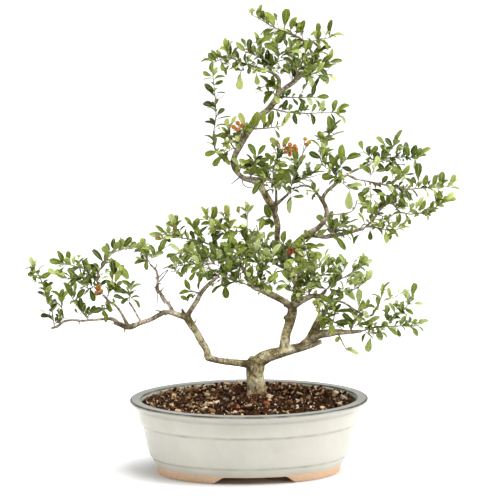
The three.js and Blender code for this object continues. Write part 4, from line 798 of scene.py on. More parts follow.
def bark_finish():
    """Grey tan bark with olive patches, dark lenticels and brown shoots where the wood is thin."""
    material, tree, shader = new_finish("firethorn_bark")
    where = spot(tree)
    girth = number(tree, "girth")
    fine = speckle(tree, where, 260, 6, 0.62)
    patches = speckle(tree, where, 48, 4, 0.62, 0.8)
    old = ramp(tree, patches, (0.30, (0.075, 0.052, 0.017)), (0.40, (0.26, 0.200, 0.070)),
               (0.50, (0.55, 0.465, 0.225)), (0.64, (0.82, 0.75, 0.52)))
    young = ramp(tree, patches, (0.3, (0.080, 0.053, 0.036)), (0.46, (0.215, 0.160, 0.112)),
                 (0.64, (0.52, 0.44, 0.34)))
    thin = ramp(tree, patches, (0.35, (0.060, 0.038, 0.034)), (0.62, (0.21, 0.155, 0.135)))
    colour = blend(tree, level(tree, girth, 2.9, 5.0), young, old)
    colour = blend(tree, level(tree, girth, 1.0, 1.7, 0.85, 0), colour, thin)
    flecks = speckle(tree, where, 640, 3, 0.6)
    colour = blend(tree, level(tree, flecks, 0.35, 0.47, 0.85, 0), colour, (0.060, 0.042, 0.015))
    colour = blend(tree, level(tree, flecks, 0.55, 0.70, 0, 0.45), colour, (0.86, 0.82, 0.66))
    colour = blend(tree, level(tree, fine, 0.36, 0.47, 0.8, 0), colour, (0.060, 0.040, 0.015))
    colour = blend(tree, level(tree, fine, 0.56, 0.70, 0, 0.6), colour, (0.84, 0.79, 0.60))
    # Painted shade in the hollows of the bark's relief and painted light on its raised parts.
    hollow = number(tree, "hollow")
    colour = blend(tree, level(tree, hollow, 0.15, 0.95, 0, 0.7), colour, (0.055, 0.037, 0.015))
    colour = blend(tree, level(tree, hollow, -0.2, -0.9, 0, 0.4), colour, (0.76, 0.70, 0.53))
    pits = level(tree, cells(tree, where, 230), 0.26, 0.16)
    some = level(tree, speckle(tree, where, 90, 2), 0.46, 0.6)
    colour = blend(tree, times(tree, pits, some), colour, (0.035, 0.024, 0.014))
    # Darker at the places where limbs meet, broken up by a mottle.
    joint_mottle = level(tree, speckle(tree, where, 170, 3), 0.38, 0.62, 0.98, 0.55)
    joint = times(tree, number(tree, "joint"), joint_mottle)
    colour = blend(tree, joint, colour, (0.075, 0.052, 0.018))
    # Painted shade: the undersides of the limbs darker.
    under = level(tree, number(tree, "underside"), -0.1, 0.8, 0, 0.85)
    colour = blend(tree, under, colour, (0.060, 0.041, 0.022))
    moss = times(tree, level(tree, speckle(tree, where, 34, 3), 0.52, 0.66, 0, 0.5),
                 level(tree, girth, 3, 7))
    colour = blend(tree, moss, colour, (0.20, 0.185, 0.055))
    height = node(tree, "ShaderNodeSeparateXYZ", {"Vector": where}).outputs["Z"]
    low = level(tree, height, 0.124, 0.100, 0, 0.75)
    colour = blend(tree, low, colour, (0.165, 0.100, 0.045))
    cut = number(tree, "cut_end")
    colour = blend(tree, cut, colour, (0.56, 0.50, 0.38))
    tree.links.new(colour, shader.inputs["Base Color"])
    shader.inputs["Roughness"].default_value = 0.78
    shader.inputs["Specular IOR Level"].default_value = 0.15
    rough = minus(tree, plus(tree, fine, times(tree, patches, 0.8)),
                  times(tree, pits, 0.5))
    tree.links.new(relief(tree, rough, 0.8, 0.0009), shader.inputs["Normal"])
    return material


def twig_finish():
    """This year's shoots: brown to purple, green towards the tip."""
    material, tree, shader = new_finish("young_shoots")
    where = spot(tree)
    green = number(tree, "youth")
    flecks = speckle(tree, where, 420, 4)
    brown = ramp(tree, flecks, (0.3, (0.095, 0.055, 0.045)), (0.52, (0.20, 0.135, 0.10)),
                 (0.75, (0.36, 0.28, 0.21)))
    fresh = ramp(tree, flecks, (0.3, (0.17, 0.16, 0.07)), (0.7, (0.34, 0.33, 0.14)))
    tree.links.new(blend(tree, level(tree, green, 0.35, 1.0), brown, fresh), shader.inputs["Base Color"])
    shader.inputs["Roughness"].default_value = 0.6
    tree.links.new(relief(tree, flecks, 0.5, 0.0003), shader.inputs["Normal"])
    return material


LEAF_TONES = {
    "leaf_green": (1.0, 1.0, 1.0),
    "leaf_light": (1.18, 1.12, 1.1),
    "leaf_dark": (0.82, 0.86, 0.86),
}


def leaf_finish(name, tone, under):
    """A leaf blade: own shade from dark green to yellow green, pale midrib and side veins, glossy above."""
    material, tree, shader = new_finish(name + ("_underside" if under else ""))
    where = spot(tree)
    shade = number(tree, "shade")
    blush = number(tree, "blush")
    uv = node(tree, "ShaderNodeUVMap", uv_map="blade").outputs["UV"]
    parts = node(tree, "ShaderNodeSeparateXYZ", {"Vector": uv})
    aside = apart(tree, parts.outputs["X"], 0.5)
    stops = ((0.0, (0.020, 0.031, 0.001)), (0.3, (0.070, 0.102, 0.003)), (0.62, (0.190, 0.238, 0.030)),
             (0.85, (0.335, 0.395, 0.125)), (1.0, (0.46, 0.51, 0.24)))
    if under:
        stops = ((0.0, (0.13, 0.17, 0.035)), (0.5, (0.25, 0.31, 0.075)), (1.0, (0.44, 0.49, 0.17)))
    stops = [(at, tuple(c * t for c, t in zip(colour, tone))) for at, colour in stops]
    mottle = level(tree, speckle(tree, where, 330, 3), 0.3, 0.7, -0.09, 0.09)
    colour = ramp(tree, plus(tree, shade, mottle), *stops)
    # Side veins run forward from the midrib to the margin.
    slant = minus(tree, parts.outputs["Y"], times(tree, aside, 0.35))
    vein = reckon(tree, "ABSOLUTE", reckon(tree, "SINE", times(tree, slant, 25), 0), 0)
    pale = tuple(min(1, c) for c in ((0.30, 0.36, 0.10) if not under else (0.42, 0.46, 0.20)))
    colour = blend(tree, level(tree, vein, 0.16, 0.0, 0, 0.28), colour, pale)
    rib = level(tree, aside, 0.05, 0.02, 0, 0.75)
    colour = blend(tree, rib, colour, pale)
    stalk = level(tree, parts.outputs["Y"], 0.12, 0.04, 0, 0.8)
    colour = blend(tree, stalk, colour, (0.36, 0.36, 0.12))
    margin = times(tree, level(tree, aside, 0.38, 0.5), blush)
    colour = blend(tree, times(tree, margin, 0.6), colour, (0.32, 0.12, 0.05))
    colour = blend(tree, times(tree, blush, 0.45), colour, (0.42, 0.22, 0.08))
    tree.links.new(colour, shader.inputs["Base Color"])
    shader.inputs["Roughness"].default_value = 0.62 if under else 0.33
    shader.inputs["Specular IOR Level"].default_value = 0.10 if under else 0.22
    height = minus(tree, times(tree, vein, 0.4), times(tree, rib, 0.8))
    tree.links.new(relief(tree, height, 0.5 if not under else 0.3, 0.0004), shader.inputs["Normal"])
    return material


def fruit_finish(name, dark, light):
    """Glossy fruit skin, deeper on one side, with a brown calyx at the end."""
    material, tree, shader = new_finish(name)
    where = spot(tree)
    skin = ramp(tree, speckle(tree, where, 210, 3), (0.3, dark), (0.72, light))
    dots = level(tree, cells(tree, where, 1500), 0.16, 0.08, 0, 0.35)
    skin = blend(tree, dots, skin, tuple(min(1, 1.5 * c) for c in light))
    skin = blend(tree, number(tree, "calyx"), skin, (0.13, 0.045, 0.018))
    tree.links.new(skin, shader.inputs["Base Color"])
    shader.inputs["Roughness"].default_value = 0.3
    shader.inputs["Specular IOR Level"].default_value = 0.3
    tree.links.new(relief(tree, speckle(tree, where, 900, 2), 0.2, 0.0002), shader.inputs["Normal"])
    return material


def mesh_plastic_finish():
    """Dark moulded plastic of the drain screens."""
    material, tree, shader = new_finish("screen_plastic")
    grain = speckle(tree, spot(tree), 900, 4)
    tree.links.new(ramp(tree, grain, (0.3, (0.014, 0.014, 0.013)), (0.7, (0.035, 0.035, 0.032))),
                   shader.inputs["Base Color"])
    shader.inputs["Roughness"].default_value = 0.55
    tree.links.new(relief(tree, grain, 0.3, 0.0003), shader.inputs["Normal"])
    return material


# Camera and light.


def set_up_camera():
    rise = math.atan(SIGHT_RISE)
    flat = math.cos(rise)
    look = Vector((math.sin(VIEW_TURN) * flat, math.cos(VIEW_TURN) * flat, -math.sin(rise)))
    target = Vector(place(CAMERA_AIM) * MM)
    stand = target - CAMERA_DISTANCE * look
    bpy.ops.object.camera_add(location=stand, rotation=(math.pi / 2 - rise, 0, -VIEW_TURN))
    camera = bpy.context.object
    camera.data.lens = CAMERA_LENS
    camera.data.sensor_width = CAMERA_SENSOR
    camera.data.clip_end = 5 * CAMERA_DISTANCE
    bpy.context.scene.camera = camera


def set_up_light():
    world = bpy.data.worlds.new("white_studio")
    world.use_nodes = True
    tree = world.node_tree
    back = tree.nodes["Background"]
    towards = node(tree, "ShaderNodeTexCoord").outputs["Generated"]
    up = node(tree, "ShaderNodeSeparateXYZ", {"Vector": towards}).outputs["Z"]
    overhead = node(tree, "ShaderNodeVectorMath", {0: towards}, operation="DOT_PRODUCT")
    overhead.inputs[1].default_value = Vector((0.22, -0.10, 0.97)).normalized()
    walls = level(tree, up, 0.1, 0.5, 0.62, 0.34)
    behind = node(tree, "ShaderNodeSeparateXYZ", {"Vector": towards}).outputs["Y"]
    walls = times(tree, walls, level(tree, behind, -0.8, 0.1, 0.57, 1.05))
    ceiling = level(tree, overhead.outputs["Value"], 0.80, 0.93, 0.0, 5.3)
    tree.links.new(plus(tree, walls, ceiling), back.inputs["Strength"])
    back.inputs["Color"].default_value = (1, 1, 1, 1)
    bpy.context.scene.world = world
    for name, spot_at, aim, size, power in (
        ("overhead_softbox", (0.1, -0.5, 2.0), (0, 0, 0.3), 0.8, 16),
        ("side_softbox_left", (-2.0, -0.45, 1.1), (0, 0, 0.3), 0.9, 16),
        ("side_softbox_right", (2.0, -0.5, 0.9), (0, 0, 0.2), 0.9, 32),
    ):
        bpy.ops.object.light_add(type="AREA", location=spot_at)
        lamp = bpy.context.object
        lamp.name = name
        lamp.data.size = size
        lamp.data.energy = power
        lamp.rotation_euler = (Vector(aim) - Vector(spot_at)).to_track_quat("-Z", "Y").to_euler()
    bpy.ops.mesh.primitive_plane_add(size=24)
    floor = bpy.context.object
    floor.name = "studio_floor"
    material, tree, shader = new_finish("matt_white_floor")
    grain = speckle(tree, spot(tree), 5, 2)
    tree.links.new(ramp(tree, grain, (0.3, (0.77, 0.77, 0.77)), (0.7, (0.79, 0.79, 0.79))),
                   shader.inputs["Base Color"])
    shader.inputs["Roughness"].default_value = 0.9
    shader.inputs["Specular IOR Level"].default_value = 0.1
    floor.data.materials.append(material)
    floor.location.z = -0.0002
    settings = bpy.context.scene.view_settings
    settings.view_transform = "Standard"
    settings.look = "None"


# The pot.


def spun(name, profile, steps):
    """A closed shape turned on the pot's middle from a profile of radius and height."""
    deselect()
    bpy.ops.mesh.primitive_plane_add(size=MM)
    piece = bpy.context.object
    piece.name = name
    piece.data.name = name
    bpy.ops.object.mode_set(mode="EDIT")
    bpy.ops.mesh.select_all(action="SELECT")
    bpy.ops.mesh.merge(type="CENTER")
    at = profile[0]
    bpy.ops.transform.translate(value=(at[0] * MM, 0, at[1] * MM))
    for radius, height in profile[1:]:
        step = ((radius - at[0]) * MM, 0, (height - at[1]) * MM)
        bpy.ops.mesh.extrude_vertices_move(TRANSFORM_OT_translate={"value": step})
        at = (radius, height)
    bpy.ops.mesh.select_all(action="SELECT")
    bpy.ops.mesh.spin(steps=steps, angle=2 * math.pi, center=(0, 0, 0), axis=(0, 0, 1))
    bpy.ops.mesh.select_all(action="SELECT")
    bpy.ops.mesh.remove_doubles(threshold=2e-6)
    bpy.ops.mesh.normals_make_consistent(inside=False)
    bpy.ops.object.mode_set(mode="OBJECT")
    return piece


TRIM = (LIP_LENGTH - LIP_DEPTH) / 2
STRAIGHT = 90


def make_oval(piece):
    """Takes as much off the depth all round, so that the lip and wall keep their thickness."""
    spots = corners_of(piece)
    radius = np.hypot(spots[:, 0], spots[:, 1]) / MM
    squeeze = np.where(radius > STRAIGHT, (radius - TRIM) / np.maximum(radius, 1),
                       (STRAIGHT - TRIM) / STRAIGHT)
    spots[:, 1] *= squeeze
    set_corners(piece, spots)


def reach_of(spots):
    """The radius along the pot's length of the oval ring that each place lies on."""
    x, y = spots[:, 0] / MM, spots[:, 1] / MM
    low, high = np.full(len(x), TRIM + 1.0), np.full(len(x), 200.0)
    for _ in range(40):
        middle = (low + high) / 2
        across = np.where(middle > STRAIGHT, middle - TRIM, middle * (STRAIGHT - TRIM) / STRAIGHT)
        outside = (x / middle) ** 2 + (y / across) ** 2 > 1
        low, high = np.where(outside, middle, low), np.where(outside, high, middle)
    return (low + high) / 2


def cut_out(piece, cutter):
    apply_modifier(piece, "BOOLEAN", operation="DIFFERENCE", object=cutter, solver="EXACT")
    bpy.data.objects.remove(cutter)


def make_pot(glaze):
    lip = LIP_LENGTH / 2
    foot = lip - 36.5
    profile = [
        (0, FLOOR_UNDER), (foot - 14, FLOOR_UNDER), (foot - 14, 0), (foot, 0), (lip - 34, 10),
        (lip - 33, 11.6),
        (lip - 31.4, 13.6), (lip - 29.4, 16.6), (lip - 28.4, 20.2), (lip - 25.6, 22.8), (lip - 22.9, 31),
        (lip - 20.3, 41), (lip - 18, 51), (lip - 16.4, 61.2), (lip - 13.6, 64), (lip - 11.8, 68.6),
        (lip - 10.6, 74),
        (lip - 9.9, 79), (lip - 9.6, 82.4), (lip - 7.4, 84.6), (lip - 3.6, 87), (lip - 0.9, 89.4),
        (lip, 92.1),
        (lip - 1.5, POT_HEIGHT), (lip - 8, POT_HEIGHT - 0.6), (lip - LIP_WIDTH + 0.6, POT_HEIGHT),
        (lip - LIP_WIDTH - 1.5, 91.5), (lip - 18, 72), (lip - 22.4, 52), (lip - 27.4, 38), (lip - 33, 26),
        (lip - 38, 20.5), (lip - 44, FLOOR_TOP), (0, FLOOR_TOP),
    ]
    pot = spun("glazed_pot", profile, 144)
    apply_modifier(pot, "BEVEL", width=1.3 * MM, segments=3, limit_method="ANGLE",
                   angle_limit=math.radians(24))
    make_oval(pot)
    deselect()
    bpy.ops.mesh.primitive_cube_add(size=1, location=(0, 0, 0))
    window = bpy.context.object
    spots = corners_of(window)
    half = np.where(spots[:, 2] > 0, FOOT_WINDOW_TOP / 2, FOOT_WINDOW_BOTTOM / 2 + 0.3)
    spots[:, 0] = np.sign(spots[:, 0]) * half * MM
    spots[:, 1] *= 2 * LIP_DEPTH * MM
    spots[:, 2] = np.where(spots[:, 2] > 0, FLOOR_UNDER * MM, -1.2 * MM)
    set_corners(window, spots)
    apply_modifier(window, "BEVEL", width=1.2 * MM, segments=3, limit_method="ANGLE",
                   angle_limit=math.radians(30))
    cut_out(pot, window)
    for x in (-DRAIN_SPACING / 2, DRAIN_SPACING / 2):
        deselect()
        bpy.ops.mesh.primitive_cylinder_add(vertices=48, radius=DRAIN_HOLE / 2 * MM, depth=60 * MM,
                                            location=(x * MM, 0, FLOOR_TOP * MM))
        drain = bpy.context.object
        bpy.ops.object.transform_apply(location=True, rotation=True, scale=True)
        cut_out(pot, drain)
    spots = corners_of(pot)
    paint(pot, "reach", reach_of(spots))
    spots[:, 0] += POT_MIDDLE_X * MM
    set_corners(pot, spots)
    only(pot)
    bpy.ops.object.shade_smooth_by_angle(angle=math.radians(32))
    pot.data.materials.clear()
    pot.data.materials.append(glaze)
    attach(pot, "root")
    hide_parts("pot")
    return pot


# The soil.

SOIL_REACH = LIP_LENGTH / 2 - SEAT_GAP - LIP_WIDTH - 1.7


def soil_height(x, y):
    """The top of the soil over a place, in millimetres from the pot's middle."""
    reach = np.hypot(x / SOIL_REACH, y / (SOIL_REACH - TRIM))
    inner = np.clip(1 - reach * reach, 0, 1)
    grain = np.sin(x * 0.31 + y * 0.17) * np.sin(y * 0.37 - x * 0.11)
    return SOIL_EDGE + SOIL_MOUND * inner + 1.2 * np.sqrt(inner) * grain


def grain_pattern(rng, kind):
    """One piece of grit: a small block, cut once across each face, then rounded and knocked about."""
    deselect()
    bpy.ops.mesh.primitive_cube_add(size=1)
    grain = bpy.context.object
    grain.name = f"grain_{kind}"
    bpy.ops.object.mode_set(mode="EDIT")
    bpy.ops.mesh.select_all(action="SELECT")
    bpy.ops.mesh.subdivide(number_cuts=1)
    bpy.ops.mesh.quads_convert_to_tris()
    bpy.ops.object.mode_set(mode="OBJECT")
    spots = corners_of(grain)
    rounded = spots / np.linalg.norm(spots, axis=1, keepdims=True)
    spots = 0.55 * rounded + 0.45 * spots
    spots *= 1 + 0.30 * (rng.random((len(spots), 1)) - 0.5)
    spots += 0.14 * (rng.random(spots.shape) - 0.5)
    spots *= np.array([1.15, 0.5 + 0.4 * rng.random(), 0.28 + 0.45 * rng.random()])
    set_corners(grain, spots)
    faces = np.empty(len(grain.data.polygons) * 3, dtype=np.int64)
    grain.data.polygons.foreach_get("vertices", faces)
    bpy.data.objects.remove(grain)
    return spots, faces.reshape(-1, 3)


GRIT_COLOURS = [
    ((0.020, 0.007, 0.003), 34), ((0.050, 0.020, 0.009), 18), ((0.11, 0.050, 0.022), 11),
    ((0.40, 0.26, 0.125), 9),
    ((0.62, 0.45, 0.27), 9), ((0.27, 0.14, 0.065), 7), ((0.28, 0.085, 0.040), 4), ((0.80, 0.69, 0.53), 7),
    ((0.12, 0.11, 0.08), 1.8), ((0.06, 0.075, 0.02), 2.2), ((0.66, 0.62, 0.56), 0.5),
]


def random_turns(rng, count):
    """Rotation matrices spread evenly over all turns."""
    q = rng.normal(size=(count, 4))
    q /= np.linalg.norm(q, axis=1, keepdims=True)
    w, x, y, z = q.T
    return np.stack([
        np.stack([1 - 2 * (y * y + z * z), 2 * (x * y - z * w), 2 * (x * z + y * w)], -1),
        np.stack([2 * (x * y + z * w), 1 - 2 * (x * x + z * z), 2 * (y * z - x * w)], -1),
        np.stack([2 * (x * z - y * w), 2 * (y * z + x * w), 1 - 2 * (x * x + y * y)], -1),
    ], -2)


def make_soil(finish):
    lip = LIP_LENGTH / 2 - SEAT_GAP
    floor = FLOOR_TOP + SEAT_GAP
    walls = [(0, floor), (lip - 44, floor), (lip - 38, 20.8), (lip - 33, 26.3), (lip - 27.4, 38.2),
             (lip - 22.4, 52), (lip - 18, 72), (SOIL_REACH, SOIL_EDGE)]
    rings = [(SOIL_REACH * share, SOIL_EDGE) for share in np.linspace(0.99, 0, 60)]
    soil = spun("potting_soil", walls + rings, 160)
    make_oval(soil)
    spots = corners_of(soil) / MM
    top = spots[:, 2] > SOIL_EDGE - 0.5
    lift = np.array([noise.noise(Vector((x * 0.16, y * 0.16, 3.0)))
                     + 0.6 * noise.noise(Vector((x * 0.42, y * 0.42, 9.0)))
                     for x, y in spots[top, :2]])
    inside = np.clip((SOIL_REACH - reach_of(spots[top] * MM)) / 5, 0, 1)
    spots[top, 2] = soil_height(spots[top, 0], spots[top, 1]) - 0.9 + 0.8 * lift * inside
    set_corners(soil, (spots + [POT_MIDDLE_X, 0, 0]) * MM)
    crumb = np.array([0.030, 0.011, 0.005, 1.0])
    rng = np.random.default_rng(SOIL_SEED)
    patterns = [grain_pattern(rng, kind) for kind in range(6)]
    colours = np.array([c for c, _ in GRIT_COLOURS])
    weights = np.array([w for _, w in GRIT_COLOURS], dtype=float)
    spots_all, faces_all, tint_all, first = [], [], [], 0
    for count, low, high in ((520, 2.3, 4.9), (1050, 1.2, 2.6), (1500, 0.7, 1.3)):
        angle = rng.random(count) * 2 * math.pi
        share = np.sqrt(rng.random(count)) * 0.985
        x, y = SOIL_REACH * share * np.cos(angle), (SOIL_REACH - TRIM) * share * np.sin(angle)
        size = low + (high - low) * rng.random(count) ** 1.6
        z = soil_height(x, y) - 0.9 + size * (0.25 + 0.35 * rng.random(count))
        turns = random_turns(rng, count)
        away = np.hypot(x, y)
        for i in range(count):
            wt = weights.copy()
            if low > 2 and x[i] < -50:
                wt[:2] *= 0.4
            if x[i] < -50:
                wt[3:6] *= 2.6
            if away[i] < 30:
                wt[3:5] *= 0.4
                wt[9] *= 4
            tint = colours[rng.choice(len(wt), p=wt / wt.sum())] * (0.95 + 0.6 * rng.random())
            body, faces = patterns[rng.integers(len(patterns))]
            if away[i] < 15:
                continue
            grown = body * size[i] @ turns[i].T + [x[i] + POT_MIDDLE_X, y[i], z[i]]
            spots_all.append(grown)
            faces_all.append(faces + first)
            tint_all.append(np.tile([*tint, 1.0], (len(body), 1)))
            first += len(body)
    mesh = bpy.data.meshes.new("soil_grit")
    mesh.from_pydata((np.concatenate(spots_all) * MM).tolist(), [], np.concatenate(faces_all).tolist())
    grit = bpy.data.objects.new("soil_grit", mesh)
    bpy.context.scene.collection.objects.link(grit)
    bed_tints = np.tile(crumb, (len(soil.data.vertices), 1))
    for piece, tints in ((soil, bed_tints), (grit, np.concatenate(tint_all))):
        layer = piece.data.attributes.new("grain", "FLOAT_COLOR", "POINT")
        layer.data.foreach_set("color", tints.astype(np.float32).ravel())
        piece.data.materials.clear()
        piece.data.materials.append(finish)
    fibres = make_fibres(rng, finish)
    deselect()
    for piece in (grit, fibres, soil):
        piece.select_set(True)
    bpy.context.view_layer.objects.active = soil
    bpy.ops.object.join()
    only(soil)
    bpy.ops.object.shade_smooth_by_angle(angle=math.radians(50))
    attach(soil, "root")
    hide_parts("soil")
    return soil


def make_fibres(rng, finish):
    """Fine roots and stalks lying on the soil, most of them near the trunk."""
    rows = []
    for _ in range(150):
        angle, away = rng.random() * 2 * math.pi, 15 + 75 * rng.random() ** 1.7
        x, y = away * math.cos(angle), 0.72 * away * math.sin(angle)
        heading, points = rng.random() * 2 * math.pi, []
        reach = 5 + 14 * rng.random()
        for step in range(4):
            lift = (0.9, 1.9, 1.8, 0.2)[step] * (0.5 + rng.random())
            points.append([x + POT_MIDDLE_X, y, float(soil_height(x, y)) + lift - 0.5])
            heading += 1.2 * (rng.random() - 0.5)
            x, y = x + reach / 3 * math.cos(heading), y + reach / 3 * math.sin(heading)
        rows.append((np.array(points), np.full(4, 0.16 + 0.12 * rng.random())))
    piece = tubes("fibres", rows, 0, 2)
    tints = np.tile([0.26, 0.12, 0.06, 1.0], (len(piece.data.vertices), 1))
    layer = piece.data.attributes.new("grain", "FLOAT_COLOR", "POINT")
    layer.data.foreach_set("color", tints.astype(np.float32).ravel())
    piece.data.materials.append(finish)
    return piece


def tubes(name, rows, sides, smoothness):
    """Round stems through points with a radius at each, as one mesh. Sides is the bevel resolution."""
    deselect()
    bpy.ops.curve.primitive_bezier_curve_add()
    stems = bpy.context.object
    stems.name = name
    curve = stems.data
    curve.splines.clear()
    curve.dimensions = "3D"
    curve.bevel_depth = MM
    curve.bevel_resolution = sides
    curve.resolution_u = smoothness
    curve.render_resolution_u = smoothness
    curve.use_fill_caps = True
    for points, radii in rows:
        spline = curve.splines.new("BEZIER")
        spline.bezier_points.add(len(points) - 1)
        for knot, point, radius in zip(spline.bezier_points, points, radii):
            knot.co = Vector(point * MM)
            knot.radius = float(radius)
            knot.handle_left_type = knot.handle_right_type = "AUTO"
    only(stems)
    bpy.ops.object.convert(target="MESH")
    stems.data.name = name
    return stems


# How the tree grows.


class Stretches:
    """Straight lengths of wood, shoot and stalk, each with a radius and an owner."""

    def __init__(self):
        self.rows = []

    def add(self, points, radii, owner):
        start = len(self.rows)
        for a, b, radius in zip(points, points[1:], radii):
            self.rows.append((*a, *b, radius, owner))
        return np.array(self.rows[start:])

    def table(self):
        return np.array(self.rows)


def nearest_points(rows, target):
    """On each stretch the point nearest to a place, and how far it is."""
    start, line = rows[:, 0:3], rows[:, 3:6] - rows[:, 0:3]
    share = np.clip(((target - start) * line).sum(1) / np.maximum((line * line).sum(1), 1e-12), 0, 1)
    near = start + share[:, None] * line
    return near, np.linalg.norm(near - target, axis=1)


def nearest_on(rows, target):
    near, away = nearest_points(rows, target)
    best = int(np.argmin(away))
    return near[best], away[best], rows[best, 6], int(rows[best, 7])


def depth_behind(rows, flat):
    """How far behind the front plane the nearest stretch lies along the line of sight, and how far off it."""
    shares = np.linspace(0, 1, 5)[None, :, None]
    spots = rows[:, None, 0:3] + shares * (rows[:, None, 3:6] - rows[:, None, 0:3]) - flat
    depth = spots @ SIGHT / (SIGHT @ SIGHT)
    off = np.linalg.norm(spots - depth[..., None] * SIGHT, axis=2).ravel()
    best = int(np.argmin(off))
    return depth.ravel()[best], off[best]


def point_along(rows, distance):
    left = max(0.0, distance)
    for i, row in enumerate(rows):
        line = row[3:6] - row[0:3]
        span = np.linalg.norm(line)
        if left <= span or i == len(rows) - 1:
            return row[0:3] + line / span * min(left, span), line / span
        left -= span


def draws_from(seed):
    state = ((seed + 1) * 2654435761 + 12345) & 0xFFFFFFFF
    while True:
        state = (state * 1664525 + 1013904223) & 0xFFFFFFFF
        yield state / 4294967296


BLADE_PLACES = np.array([
    [0.16, 0], [0.34, 0], [0.38, -0.42], [0.38, 0.42], [0.58, 0], [0.62, -0.5], [0.62, 0.5], [0.8, 0],
    [0.86, -0.34],
    [0.86, 0.34], [0.98, 0],
])


class Foliage:
    """All leaves grown so far, kept as tables so that a new one can be tried against them at once."""

    def __init__(self, room=7000):
        self.count = 0
        self.vectors = np.zeros((room, 5, 3))  # foot, along, across, face, middle
        self.sizes = np.zeros((room, 3))  # length, width, owner
        self.points = np.zeros((room, len(BLADE_PLACES), 3))
        self.notes = []

    def push(self, leaf):
        i = self.count
        self.vectors[i] = [leaf[key] for key in ("foot", "along", "across", "face", "middle")]
        self.sizes[i] = leaf["length"], leaf["width"], leaf["owner"]
        self.points[i] = leaf["points"]
        self.notes.append(leaf)
        self.count += 1

    def feet_of(self, owner):
        own = self.sizes[: self.count, 2] == owner
        return self.vectors[: self.count, 0][own]


def leaf_at(foot, direction, light, roll, length, width, owner, **notes):
    along = unit(direction)
    face = light - along * (light @ along)
    if np.linalg.norm(face) < 0.05:
        face = np.array([0.2, -0.9, 0.1])
        face = face - along * (face @ along)
    face = turned_about(unit(face), along, roll)
    across = np.cross(face, along)
    leaf = {"foot": foot, "along": along, "across": across, "face": face, "middle": foot + along * length / 2,
            "length": length, "width": width, "owner": owner, **notes}
    shares, sides = BLADE_PLACES[:, 0:1], BLADE_PLACES[:, 1:2]
    leaf["points"] = foot + along * shares * length + across * sides * width
    return leaf


def inside_blade(points, middle, along, across, face, length, width, gap, flat_gap):
    out = points - middle
    a = (out * along).sum(-1) / (length / 2 + gap)
    b = (out * across).sum(-1) / (width / 2 + gap)
    c = (out * face).sum(-1) / (0.35 + flat_gap)
    return a * a + b * b + c * c < 1


def is_clear(leaf, foliage, rows, gap, flat_gap):
    n = foliage.count
    shares = BLADE_PLACES[:, 0]
    if n:
        away = np.linalg.norm(foliage.vectors[:n, 4] - leaf["middle"], axis=1)
        near = np.nonzero(away <= (foliage.sizes[:n, 0] + leaf["length"]) / 2 + 1)[0]
        if len(near):
            shared = np.where(foliage.sizes[near, 2] == leaf["owner"], 0.2, 0.0)
            counts = shares[None, :] > shared[:, None]
            v = foliage.vectors[near][:, :, None, :]
            size = foliage.sizes[near]
            hit = inside_blade(leaf["points"][None], v[:, 4], v[:, 1], v[:, 2], v[:, 3],
                               size[:, 0:1], size[:, 1:2], gap, flat_gap)
            if (hit & counts).any():
                return False
            hit = inside_blade(foliage.points[near], leaf["middle"], leaf["along"], leaf["across"],
                               leaf["face"], leaf["length"], leaf["width"], gap, flat_gap)
            if (hit & counts).any():
                return False
    _, away = nearest_points(rows, leaf["middle"])
    close = rows[away <= leaf["length"] / 2 + rows[:, 6] + 1]
    if not len(close):
        return True
    start, line = close[:, None, 0:3], (close[:, 3:6] - close[:, 0:3])[:, None]
    points = leaf["points"][None]
    share = np.clip(((points - start) * line).sum(2) / np.maximum((line * line).sum(2), 1e-12), 0, 1)
    gaps = np.linalg.norm(start + share[..., None] * line - points, axis=2)
    counts = shares[None, :] > np.where(close[:, 7] == leaf["owner"], 0.3, 0.0)[:, None]
    return not ((gaps < close[:, 6:7] + gap) & counts).any()


def grow(forms, foliage, rows, gap=1.0, flat_gap=1.6, wanted=None):
    for leaf in forms:
        if (not wanted or wanted(leaf)) and is_clear(leaf, foliage, rows, gap, flat_gap):
            foliage.push(leaf)
            return True
    return False


def free_foot(spray, target, length, foliage, spacing):
    """The free place on a spray's shoots from which a leaf of this length best covers a spot."""
    feet = foliage.feet_of(spray["index"])
    best = None
    for stem in spray["stems"]:
        reach = stem["reach"]
        for distance in np.arange(reach, spacing, -1.0):
            point, along = point_along(stem["rows"], distance)
            aim = target - point
            away = np.linalg.norm(aim)
            bent = math.acos(max(-1, min(1, aim @ along / max(away, 1e-9))))
            cost = abs(away - length / 2) + 3 * max(0, bent - 1.3)
            if (best and cost >= best[0]) or (distance == reach and bent >= 1.1):
                continue
            if len(feet) and (np.linalg.norm(feet - point, axis=1) < spacing).any():
                continue
            best = (cost, point, distance == reach, (reach - distance) / max(reach, 1))
    return best


